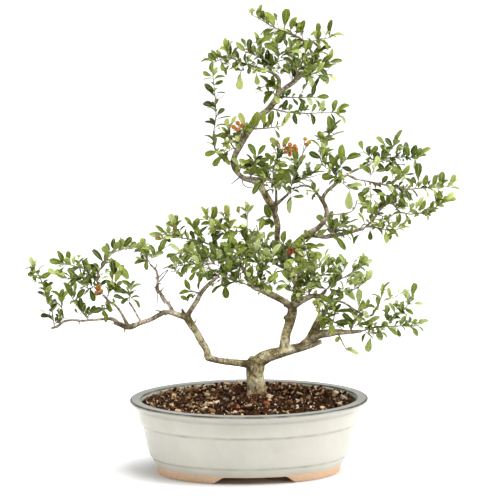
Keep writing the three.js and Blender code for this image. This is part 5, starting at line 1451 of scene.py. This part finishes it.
def grow_tree():
    """The shoots of every spray, then the leaves that stand out, then those along each shoot."""
    stretches = Stretches()
    for rows in LIMBS.values():
        stretches.add([place(row) for row in rows], [row[3] for row in rows], -1)
    wood = stretches.table()
    sprays = []
    for index, (name, (shoots, marks)) in enumerate(SPRAYS.items()):
        own, stems = None, []
        for rows in shoots:
            points = [place(row) for row in rows]
            point, _, radius, _ = nearest_on(wood if own is None else own, points[0])
            points[0] = point
            thick = rows[0][3] if len(rows[0]) > 3 else (1.3 if own is None else 0.9)
            radii = [thick + (0.8 - thick) * i / (len(points) - 1) for i in range(len(points))]
            radii[0] = min(thick, 0.4 * radius)
            added = stretches.add(points, radii, index)
            own = added if own is None else np.concatenate([own, added])
            reach = np.linalg.norm(added[:, 3:6] - added[:, 0:3], axis=1).sum()
            stems.append({"points": points, "radii": radii, "rows": added, "reach": reach})
        sprays.append({"name": name, "index": index, "stems": stems, "own": own, "marks": marks})
    carriers = stretches.table()
    bunches = []
    for name, plan in BERRIES.items():
        point, _, _, owner = nearest_on(carriers, place(plan["foot"]))
        berries = [place(row) for row in plan["fruit"]]
        middle = sum(berries) / len(berries)
        parting = middle + 0.4 * (point - middle)
        bunches.append({"name": name, "berries": berries, "foot": point, "parting": parting, "owner": owner})
    for bunch in bunches:
        stalks = [(bunch["foot"], bunch["parting"])]
        stalks += [(bunch["parting"], berry) for berry in bunch["berries"]]
        for stalk in stalks:
            stretches.add(stalk, [0.7], -2)
        for berry in bunch["berries"]:
            stretches.add([berry, berry + [0, 1, 0]], [BERRY / 2], -2)
    rows = stretches.table()
    foliage = Foliage()

    for spray in sprays:
        draw = draws_from(spray["index"])
        for x, h, length in spray["marks"]:
            flat = place([x, 0, h])
            behind, _ = depth_behind(spray["own"], flat)
            middle = flat + SIGHT * (behind + 8 * (next(draw) - 0.5))
            grow_marked(spray, foliage, rows, middle, length, draw, FEET_APART)
    for spray in sprays:
        for order, stem in enumerate(spray["stems"]):
            draw = draws_from(1000 + 20 * spray["index"] + order)
            distance = stem["reach"]
            while distance > 4:
                grow_along(spray, stem, foliage, rows, distance, draw, LARGE_APART,
                           LARGE_SHORTEST, LARGE_LONGEST)
                distance -= LARGE_APART
    add_extra_leaves(sprays, foliage, rows)
    add_side_shoots(sprays, foliage, stretches, rows)
    rows = stretches.table()
    fill_out(sprays, foliage, rows)
    return sprays, foliage, bunches, rows


def grow_marked(spray, foliage, rows, middle, length, draw, spacing, gaps=LARGE_GAPS, limit=None, light=None):
    found = free_foot(spray, middle, length, foliage, spacing)
    roll = 1.3 * (next(draw) - 0.5)
    if not found:
        return False
    _, point, ends, back = found
    direction = middle - point
    reach = max(length, np.linalg.norm(direction) + length / 2)
    if limit and reach > limit:
        return False
    light = TOP * 0.6 + VIEWER * 0.8 if light is None else light
    forms = (leaf_at(point, direction, light, roll + bend, reach, length * LEAF_ASPECT, spray["index"],
                     ends=ends, back=back, blade=length) for bend in (0, 0.5, -0.5, 1, -1))
    return grow(forms, foliage, rows, *gaps)


def grow_along(spray, stem, foliage, rows, distance, draw, near, shortest, longest, gaps=LARGE_GAPS,
               wanted=None):
    ends = distance == stem["reach"]
    turn = 2 * math.pi * next(draw)
    opening = 0.35 if ends else 0.75 + 0.4 * next(draw)
    length = shortest + (longest - shortest) * next(draw)
    roll = 1.2 * (next(draw) - 0.5)
    point, along = point_along(stem["rows"], distance)
    feet = foliage.feet_of(spray["index"])
    spacing = min(near, FEET_APART) if ends else near
    if len(feet) and (np.linalg.norm(feet - point, axis=1) < spacing).any():
        return False
    light = TOP * 0.8 + along * 0.5 + VIEWER * 0.2
    back = (stem["reach"] - distance) / stem["reach"]

    def forms():
        for bend in range(6):
            side = np.cross(along, TOP)
            side = unit(side) if np.linalg.norm(side) >= 0.2 else np.array([1.0, 0, 0])
            side = turned_about(side, along, turn + bend * 1.05)
            direction = along * math.cos(opening) + side * math.sin(opening) + [0, 0, 0.25]
            yield leaf_at(point, direction, light, roll, length, length * LEAF_ASPECT, spray["index"],
                          ends=ends, back=back, blade=length)

    return grow(forms(), foliage, rows, *gaps, wanted)


FULL_SPRAYS = ("cloud", "right_cloud", "apex", "centre", "left_crown", "upper", "leader_low", "bend",
"right_crest",
               "lower_upright", "lower_middle", "leader_foot", "crown", "right_twigs", "lower_stub",
               "left_peak",
               "low_tip", "low_near", "upper_far", "lower_far", "left_middle", "left_third", "left_second",
               "left_end", "right_link")
BACK = unit(SIGHT)


def front_view(points):
    """Where places lie as the tree is seen from the front: across and height."""
    c, s = math.cos(VIEW_TURN), math.sin(VIEW_TURN)
    x = (points[..., 0] - POT_MIDDLE_X) * c - points[..., 1] * s
    y = (points[..., 0] - POT_MIDDLE_X) * s + points[..., 1] * c
    return np.stack([x, points[..., 2] + SIGHT_RISE * y], -1)


def is_full(spray):
    return any(spray["name"].startswith(word) for word in FULL_SPRAYS)


def add_extra_leaves(sprays, foliage, rows):
    """The smaller leaves that are seen between the large ones."""
    draw = draws_from(7001)
    for mark in EXTRA_LEAVES:
        x, h = mark[:2]
        length = (mark[2] if len(mark) > 2 else 10 + 5 * next(draw)) * (0.8 + 0.4 * next(draw))
        flat = place([x, 0, h])
        middles = foliage.vectors[: foliage.count, 4] - flat
        depth = middles @ SIGHT / (SIGHT @ SIGHT)
        if (np.linalg.norm(middles - depth[:, None] * SIGHT, axis=1) < 4).any():
            continue
        offs = [(depth_behind(spray["own"], flat), spray) for spray in sprays]
        (behind, off), spray = min(offs, key=lambda pair: pair[0][1])
        middle = flat + SIGHT * (behind + 10 * (next(draw) - 0.5))
        light = TOP * 0.8 + VIEWER * (0.05 + 0.7 * next(draw))
        grow_marked(spray, foliage, rows, middle, length, draw, 1.4, FINE_GAPS, 30, light)


def add_side_shoots(sprays, foliage, stretches, rows):
    """Short side shoots on the fuller sprays, most of them towards or away from the viewer."""
    for spray in sprays:
        if not is_full(spray):
            continue
        draw, shoots = draws_from(5000 + spray["index"]), []
        for stem in spray["stems"]:
            distance = 3 + 5 * next(draw)
            while distance < stem["reach"] - 1:
                foot, along = point_along(stem["rows"], distance)
                length = 7 + 9 * next(draw)
                for _ in range(4):
                    level_side = unit(np.cross(along, TOP + [0.01, 0, 0]))
                    side = turned_about(level_side, along, 2 * math.pi * next(draw))
                    way = side + 0.4 * along + 0.35 * TOP
                    way = unit(way + 0.8 * (way @ BACK) * BACK)
                    path = leaf_at(foot, way, TOP, 0, length, 1.2, spray["index"])
                    if is_clear(path, foliage, rows, 0, 0):
                        points = [foot, foot + way * length * 0.55 - 0.06 * length * TOP, foot + way * length]
                        radii = [0.55, 0.45, 0.34]
                        added = stretches.add(points, radii, spray["index"])
                        reach = np.linalg.norm(added[:, 3:6] - added[:, 0:3], axis=1).sum()
                        shoots.append({"points": points, "radii": radii, "rows": added, "reach": reach,
                                       "side": True})
                        break
                distance += 9 + 8 * next(draw)
        spray["stems"] += shoots


def fill_out(sprays, foliage, rows):
    """Tufts of small leaves all along the shoots, within the outline that the marked leaves give."""
    marks = np.array([mark[:2] for spray in sprays for mark in spray["marks"]]
                     + [mark[:2] for mark in EXTRA_LEAVES])

    def inside_outline(leaf):
        seen = front_view(leaf["foot"] + leaf["along"] * leaf["length"] * 0.75)
        return (np.hypot(*(marks - seen).T) < (8.5 if seen[1] < 560 else 4.5)).any()

    for spray in sprays:
        full = is_full(spray)
        for order, stem in enumerate(spray["stems"]):
            draw = draws_from(9000 + 20 * spray["index"] + order)
            side = "side" in stem
            distance = stem["reach"] - (0 if side else 2)
            while distance > (1 if side else 3):
                tuft = int((2.6 if side else 2.2 if full else 1.4) + 2.2 * next(draw))
                for _ in range(tuft):
                    grow_along(spray, stem, foliage, rows, max(distance, 0.5), draw, 0.4, 6,
                               13 if side else 18 if full else 15, FINE_GAPS, inside_outline)
                    distance -= 0.6
                distance -= (4 if full else 5) + 6 * next(draw)


# The wood.

# Small dead spurs and cut ends: foot and tip as seen from the front, foot radius and tip radius.
SPURS = [
    [(-101, 205), (-119, 207), 0.9, 0.5], [(-156, 184), (-172, 190), 0.8, 0.3],
    [(-113, 247), (-102, 258), 0.9, 0.4],
    [(-117, 232), (-114, 214), 0.8, 0.4], [(-156, 180), (-154, 174), 0.9, 0.2],
    [(-111, 238), (-106, 241), 0.9, 0.2],
    [(-110, 221), (-105, 222), 0.8, 0.2], [(-101, 214), (-99, 219), 0.8, 0.2],
    [(-67, 191), (-64, 196), 0.9, 0.2],
    [(34, 227), (38, 222), 0.8, 0.2], [(49, 217), (55, 214), 0.8, 0.2], [(-36, 473), (-28, 482), 0.6, 0.25],
    [(-212, 190), (-211, 187), 0.7, 0.2], [(144, 176), (155, 172), 0.8, 0.4],
    [(25, 405), (35, 412), 0.7, 0.3],
    [(66, 374), (91, 380), 0.8, 0.3],
]
# Darker places, most of them where limbs meet, and how far they reach.
DARK_PLACES = [
    (53, 203, 14), (-1, 138, 8), (63, 163, 8), (86, 176, 12), (-77, 199, 9), (-154, 185, 9),
    (40, 274, 5), (-18, 392, 7),
    (90, 312, 6), (94, 345, 8), (28, 338, 5), (-113, 233, 6), (-112, 202, 5), (-4, 424, 5), (34, 488, 4),
]
CUT_ENDS = [(91, 166, 4.5), (-119, 207, 1.5), (-172, 190, 1.2), (2, 177, 2.6)]


def knobs(rng, stretches):
    """Buds, old leaf scars and stubs that stand a little out of the wood."""
    rows = []
    lengths = np.linalg.norm(stretches[:, 3:6] - stretches[:, 0:3], axis=1)
    for index in rng.choice(len(stretches), size=150, p=lengths / lengths.sum()):
        start, end, radius = stretches[index, 0:3], stretches[index, 3:6], stretches[index, 6]
        along = unit(end - start)
        side = turned_about(unit(np.cross(along, TOP + [0.01, 0.02, 0])), along, 2 * math.pi * rng.random())
        foot = start + (end - start) * rng.random()
        out = radius * 0.95 + 0.4 + 1.1 * rng.random()
        if foot[2] < 104:
            continue
        thick = min(1.5, 0.45 * radius) * (0.7 + 0.6 * rng.random())
        tip = foot + side * out + along * 0.8
        rows.append(([foot, (foot + tip) / 2, tip], [1.3 * thick, 1.15 * thick, 0.6 * thick]))
    return rows


def make_wood(finish, rows):
    rng = np.random.default_rng(WOOD_SEED)
    wood_rows, carriers = rows[rows[:, 7] == -1], rows[rows[:, 7] != -2]
    stout, slim = [], []
    for name, limb in LIMBS.items():
        slimmer = 0.72 if name.startswith("bare") else 0.86 if name == "left_peak" else 1
        points, radii = [place(row) for row in limb], [row[3] * slimmer for row in limb]
        (stout if max(radii) > 2.1 else slim).append((points, radii))
    stout += knobs(rng, wood_rows)
    for foot, tip in THORNS:
        slim.append(([place(foot), (place(foot) + place(tip)) / 2, place(tip)], [0.95, 0.6, 0.14]))
    for (x, h), (tip_x, tip_h), thick, thin in SPURS:
        flat, tip = place([x, 0, h]), place([tip_x, 0, tip_h])
        behind, _ = depth_behind(carriers, flat)
        foot = nearest_on(carriers, flat + SIGHT * behind)[0]
        tip = tip + SIGHT * (behind + 6 * (rng.random() - 0.5))
        middle = (foot + tip) / 2 + rng.normal(size=3) * 0.5
        slim.append(([foot, middle, tip], [thick, (thick + thin) / 2, thin]))
    wood = tubes("bark_wood", stout, 4, 6)
    wood.data.remesh_voxel_size = 0.92 * MM
    wood.data.use_remesh_preserve_volume = True
    only(wood)
    bpy.ops.object.voxel_remesh()
    apply_modifier(wood, "SMOOTH", factor=0.5, iterations=4)
    twigs = tubes("slim_wood", slim, 1, 4)
    for piece in (wood, twigs):
        add_girth(piece, wood_rows)
    spots = corners_of(wood)
    normals = np.empty(len(spots) * 3)
    wood.data.vertex_normals.foreach_get("vector", normals)
    normals = normals.reshape(-1, 3)
    girth = np.empty(len(spots))
    wood.data.attributes["girth"].data.foreach_get("value", girth)
    lift = np.empty(len(spots))
    for i, at in enumerate(spots / MM):
        broad = noise.noise(Vector(at * 0.10))
        folds = noise.noise(Vector((at[0] * 0.42, at[1] * 0.42, at[2] * 0.2)))
        fine = noise.noise(Vector(at * 0.75) + Vector((7, 3, 1)))
        lift[i] = 0.55 * broad + 0.55 * folds + 0.35 * fine
    amount = np.clip(girth, 1.5, 9) * 0.10
    set_corners(wood, spots + normals * (lift * amount * MM)[:, None])
    # Painted shade and light: darker where the bark is pushed in, lighter where it stands out.
    paint(wood, "hollow", -lift * 1.6)
    paint(twigs, "hollow", np.zeros(len(twigs.data.vertices)))
    deselect()
    twigs.select_set(True)
    wood.select_set(True)
    bpy.context.view_layer.objects.active = wood
    bpy.ops.object.join()
    spots = corners_of(wood) / MM
    cut = np.zeros(len(spots))
    for x, h, size in CUT_ENDS:
        flat = place([x, 0, h])
        behind, _ = depth_behind(wood_rows, flat)
        away = np.linalg.norm(spots - (flat + SIGHT * behind), axis=1)
        cut = np.maximum(cut, np.clip(1.4 - away / size, 0, 1))
    paint(wood, "cut_end", cut)
    joint = np.zeros(len(spots))
    for x, h, size in DARK_PLACES:
        flat = place([x, 0, h])
        behind, _ = depth_behind(wood_rows, flat)
        away = np.linalg.norm(spots - (flat + SIGHT * behind), axis=1)
        joint = np.maximum(joint, np.clip(2.8 * (1 - away / (1.5 * size)), 0, 1))
    paint(wood, "joint", joint)
    # Painted shade read from the vertex normals: the more a face looks down, the darker the bark.
    facing = np.empty(len(spots) * 3)
    wood.data.vertex_normals.foreach_get("vector", facing)
    paint(wood, "underside", -facing.reshape(-1, 3)[:, 2])
    only(wood)
    bpy.ops.object.shade_smooth()
    wood.data.materials.clear()
    wood.data.materials.append(finish)
    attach(wood, "root")
    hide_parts("trunk_and_branches")
    return wood


def add_girth(piece, rows):
    """How thick the wood is at each vertex, as the radius of the nearest stretch."""
    samples = [(row[0:3] + (row[3:6] - row[0:3]) * share, row[6])
               for row in rows
               for share in np.linspace(0, 1, max(2, int(np.linalg.norm(row[3:6] - row[0:3]) / 2)))]
    tree = kdtree.KDTree(len(samples))
    for i, (at, _) in enumerate(samples):
        tree.insert(Vector(at), i)
    tree.balance()
    paint(piece, "girth", [samples[tree.find(Vector(at))[1]][1] for at in corners_of(piece) / MM])


# Leaves and shoots.

# Half the blade's width at each share of its length: a short stalk, widest past the middle, a blunt tip.
BLADE_OUTLINES = [
    [(0, 0.045), (0.11, 0.06), (0.30, 0.30), (0.52, 0.46), (0.74, 0.49), (0.92, 0.34), (1, 0.14)],
    [(0, 0.05), (0.09, 0.07), (0.26, 0.34), (0.46, 0.48), (0.68, 0.48), (0.89, 0.32), (1, 0.11)],
    [(0, 0.04), (0.15, 0.055), (0.36, 0.27), (0.58, 0.45), (0.78, 0.50), (0.94, 0.36), (1, 0.18)],
    [(0, 0.045), (0.12, 0.07), (0.32, 0.35), (0.52, 0.49), (0.72, 0.46), (0.90, 0.29), (1, 0.09)],
]
# Arch along the blade, cup across it, twist in turns of the tip, and wave of the margin.
BLADE_FORMS = [(0.06, 0.34, 0.12, 0.02), (0.12, 0.46, -0.26, 0.03), (0.03, 0.24, 0.34, 0.035),
               (0.15, 0.56, 0.05, 0.015)]


def blade_pattern(kind, across):
    """A leaf, modelled once: a grid drawn to the outline, folded and arched, then given its thickness."""
    deselect()
    bpy.ops.mesh.primitive_grid_add(x_subdivisions=across, y_subdivisions=6, size=1)
    blade = bpy.context.object
    blade.name = f"blade_{kind}"
    blade.data.uv_layers[0].name = "blade"
    spots = corners_of(blade)
    outline, (arch, cup, twist, wave) = BLADE_OUTLINES[kind], BLADE_FORMS[kind]
    row = np.rint((spots[:, 1] + 0.5) * 6).astype(int)
    shares, halves = np.array([outline[r] for r in row]).T
    side = spots[:, 0] * 2
    width, length = PATTERN_LENGTH * LEAF_ASPECT, PATTERN_LENGTH
    x = side * halves * width
    z = cup * (np.abs(side) ** 1.4) * halves * width + length * arch * (1 - 4 * (shares - 0.5) ** 2)
    z += wave * length * np.sin(shares * 15 + kind) * np.abs(side) ** 2 * halves
    angle = twist * shares ** 2
    x, z = x * np.cos(angle) - z * np.sin(angle) * 0.3, z + x * np.sin(angle)
    set_corners(blade, np.stack([x, shares * length, z], -1) * MM)
    for _ in range(2):
        blade.data.materials.append(None)
    apply_modifier(blade, "SOLIDIFY", thickness=BLADE_THICK * MM, offset=0,
                   use_even_offset=False, material_offset=1, material_offset_rim=0)
    only(blade)
    bpy.ops.object.shade_smooth()
    return blade


def lay_blade(pattern, leaf, plump, tones, shade, blush):
    """A copy of a leaf in its place, long and wide enough, with its own shade."""
    length = leaf["length"]
    reach = min(length, leaf["blade"] * 1.15)
    foot = leaf["foot"] + leaf["along"] * (length - reach)
    scale_x, scale_y = leaf["width"] * plump / (PATTERN_LENGTH * LEAF_ASPECT), reach / PATTERN_LENGTH
    columns = (-leaf["across"] * scale_x, leaf["along"] * scale_y, leaf["face"] * scale_y, foot * MM)
    matrix = Matrix([[columns[c][r] for c in range(4)] for r in range(3)] + [[0, 0, 0, 1]])
    blade = pattern.copy()
    blade.data = pattern.data.copy()
    blade.data.transform(matrix)
    for slot, tone in enumerate(tones):
        blade.data.materials[slot] = tone
    count = len(blade.data.vertices)
    paint(blade, "shade", np.full(count, shade))
    paint(blade, "blush", np.full(count, blush))
    bpy.context.scene.collection.objects.link(blade)
    return blade, foot


# Painted light and shade on the leaves: where they are lighter or darker than elsewhere, as place seen from
# the front, reach, and by how much.
SUNNY_PLACES = [(150, 225, 130, 0.23), (-20, 265, 100, 0.06), (20, 395, 90, 0.04), (50, 545, 120, -0.11),
                (190, 385, 110, -0.05), (-215, 245, 90, -0.05)]


def sun_at(leaf):
    x, h = front_view(leaf["middle"])
    return sum(amount * min(1, max(0, 2 - 2 * math.hypot(x - at, h - high) / reach))
               for at, high, reach, amount in SUNNY_PLACES)


def make_sprays(sprays, foliage, twig, tones):
    rng = np.random.default_rng(BLADE_SEED)
    patterns = [blade_pattern(kind, across) for across in (4, 2) for kind in range(4)]
    slots = list(LEAF_TONES)
    for spray in sprays:
        slot = slots[spray["index"] % 3]
        rows = []
        for stem in spray["stems"]:
            slim = [radius * (0.92 - 0.3 * i / len(stem["radii"])) for i, radius in enumerate(stem["radii"])]
            rows.append((stem["points"], slim))
        blades = []
        for leaf in foliage.notes:
            if leaf["owner"] != spray["index"]:
                continue
            tender = max(0.0, 1 - leaf["back"] * 2.5)
            # The shade includes the painted light and shade of sun_at.
            shade = 0.32 + 0.30 * tender ** 2 + 0.62 * (rng.random() - 0.5) + sun_at(leaf)
            if rng.random() < 0.10:
                shade = 0.80 + 0.16 * rng.random()
            shade = min(max(shade, 0.02), 0.98)
            blush = 0.25 + 0.5 * rng.random() if leaf["length"] < 12 and rng.random() < 0.08 else 0.0
            pattern = patterns[rng.integers(4) + (4 if leaf["length"] < 11 else 0)]
            blade, foot = lay_blade(pattern, leaf, 0.88 + 0.36 * rng.random(), tones[slot], shade, blush)
            blades.append(blade)
            if np.linalg.norm(foot - leaf["foot"]) > 0.6:
                stalk = [leaf["foot"], (leaf["foot"] + foot) / 2, foot + leaf["along"] * 1.2]
                rows.append((stalk, [0.5, 0.42, 0.36]))
        rows += thorns_of(spray, rng)
        shoots = tubes(f"firethorn_{spray['name']}", rows, 1, 3)
        shoots.data.materials.append(twig)
        paint_youth(shoots, spray)
        only(shoots)
        bpy.ops.object.shade_smooth()
        join_into(shoots, blades)
        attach(shoots, "root")
        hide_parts(f"spray_{spray['name']}")
    for pattern in patterns:
        bpy.data.objects.remove(pattern)


def thorns_of(spray, rng):
    """Short straight spines on the shoots."""
    rows = []
    for stem in spray["stems"]:
        distance = 6 + 14 * rng.random()
        while distance < stem["reach"] - 4:
            point, along = point_along(stem["rows"], distance)
            side = turned_about(unit(np.cross(along, [0.2, 0.1, 1])), along, 2 * math.pi * rng.random())
            tip = point + (side + 0.5 * along) * (2.2 + 2.6 * rng.random())
            rows.append(([point, (point + tip) / 2, tip], [0.5, 0.36, 0.1]))
            distance += 16 + 22 * rng.random()
    return rows


def paint_youth(piece, spray):
    samples = []
    for order, stem in enumerate(spray["stems"]):
        for distance in np.arange(0, stem["reach"], 2.0):
            samples.append((point_along(stem["rows"], distance)[0], (distance / stem["reach"]) ** 1.5))
    tree = kdtree.KDTree(len(samples))
    for i, (at, _) in enumerate(samples):
        tree.insert(Vector(at), i)
    tree.balance()
    paint(piece, "youth", [samples[tree.find(Vector(at))[1]][1] for at in corners_of(piece) / MM])


# Fruit.


def fruit_pattern():
    """One fruit, its end towards +Z: a ball a little flattened, with a dimpled calyx of five lobes."""
    deselect()
    bpy.ops.mesh.primitive_uv_sphere_add(segments=20, ring_count=14, radius=BERRY / 2 * MM)
    fruit = bpy.context.object
    fruit.name = "fruit"
    spots = corners_of(fruit) / MM
    high = spots[:, 2] / (BERRY / 2)
    around = np.arctan2(spots[:, 1], spots[:, 0])
    crown = np.clip((high - 0.80) / 0.20, 0, 1)
    spots[:, 2] *= 0.92
    spots[:, 2] -= 1.0 * crown ** 1.5
    ridge = np.exp(-((high - 0.80) / 0.09) ** 2)
    spots[:, 2] += ridge * (0.22 + 0.22 * np.cos(5 * around))
    stalk_end = np.clip((-high - 0.85) / 0.15, 0, 1)
    spots[:, 2] += 0.35 * stalk_end
    set_corners(fruit, spots * MM)
    paint(fruit, "calyx", np.clip(crown * 2.2 - 1.1, 0, 1))
    only(fruit)
    bpy.ops.object.shade_smooth()
    return fruit


def make_fruit(bunches, finishes, twig):
    pattern = fruit_pattern()
    rng = np.random.default_rng(FRUIT_SEED)
    slots = {"bend": "berry_orange", "upper": "berry_orange", "left": "berry_orange",
             "upper_pale": "berry_pale", "leader": "berry_red"}
    for bunch in bunches:
        slot = slots[bunch["name"]]
        foot, parting = bunch["foot"], bunch["parting"]
        rows = [([foot, (foot + parting) / 2 + [0, 0, 0.6], parting], [0.75, 0.6, 0.6])]
        fruits = []
        for berry in bunch["berries"]:
            out = unit(berry - parting)
            stalk = [parting, (parting + berry) / 2 + [0, 0, 0.4], berry - out * 2]
            rows.append((stalk, [0.5, 0.42, 0.5]))
            turn = Vector(out + 0.25 * rng.normal(size=3)).to_track_quat("Z", "X").to_matrix().to_4x4()
            spin = Matrix.Rotation(6.28 * rng.random(), 4, "Z")
            size = Matrix.Scale(0.94 + 0.1 * rng.random(), 4)
            fruit = pattern.copy()
            fruit.data = pattern.data.copy()
            fruit.data.transform(Matrix.Translation(Vector(berry * MM)) @ turn @ spin @ size)
            fruit.data.materials.append(finishes[slot])
            bpy.context.scene.collection.objects.link(fruit)
            fruits.append(fruit)
        stalks = tubes(f"fruit_{bunch['name']}", rows, 1, 4)
        stalks.data.materials.append(twig)
        paint(stalks, "youth", np.full(len(stalks.data.vertices), 0.7))
        only(stalks)
        bpy.ops.object.shade_smooth()
        join_into(stalks, fruits)
        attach(stalks, "root")
        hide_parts(f"berries_{bunch['name']}")
    bpy.data.objects.remove(pattern)


# The whole tree.

set_up_camera()
set_up_light()
make_pot(glaze_finish())
make_soil(soil_finish())
screen_finish = mesh_plastic_finish()
for side in ("left", "right"):
    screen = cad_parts[f"drain_screen_{side}"]
    screen.data.materials.clear()
    screen.data.materials.append(screen_finish)

sprays, foliage, bunches, stretches = grow_tree()
make_wood(bark_finish(), stretches)
twig_brown = twig_finish()
tones = {name: (leaf_finish(name, tone, False), leaf_finish(name, tone, True))
         for name, tone in LEAF_TONES.items()}
make_sprays(sprays, foliage, twig_brown, tones)
make_fruit(bunches, {
    "berry_orange": fruit_finish("orange_fruit", (0.25, 0.055, 0.003), (0.45, 0.150, 0.010)),
    "berry_pale": fruit_finish("yellow_orange_fruit", (0.42, 0.17, 0.012), (0.60, 0.33, 0.05)),
    "berry_red": fruit_finish("red_fruit", (0.24, 0.022, 0.005), (0.42, 0.065, 0.012)),
}, twig_brown)
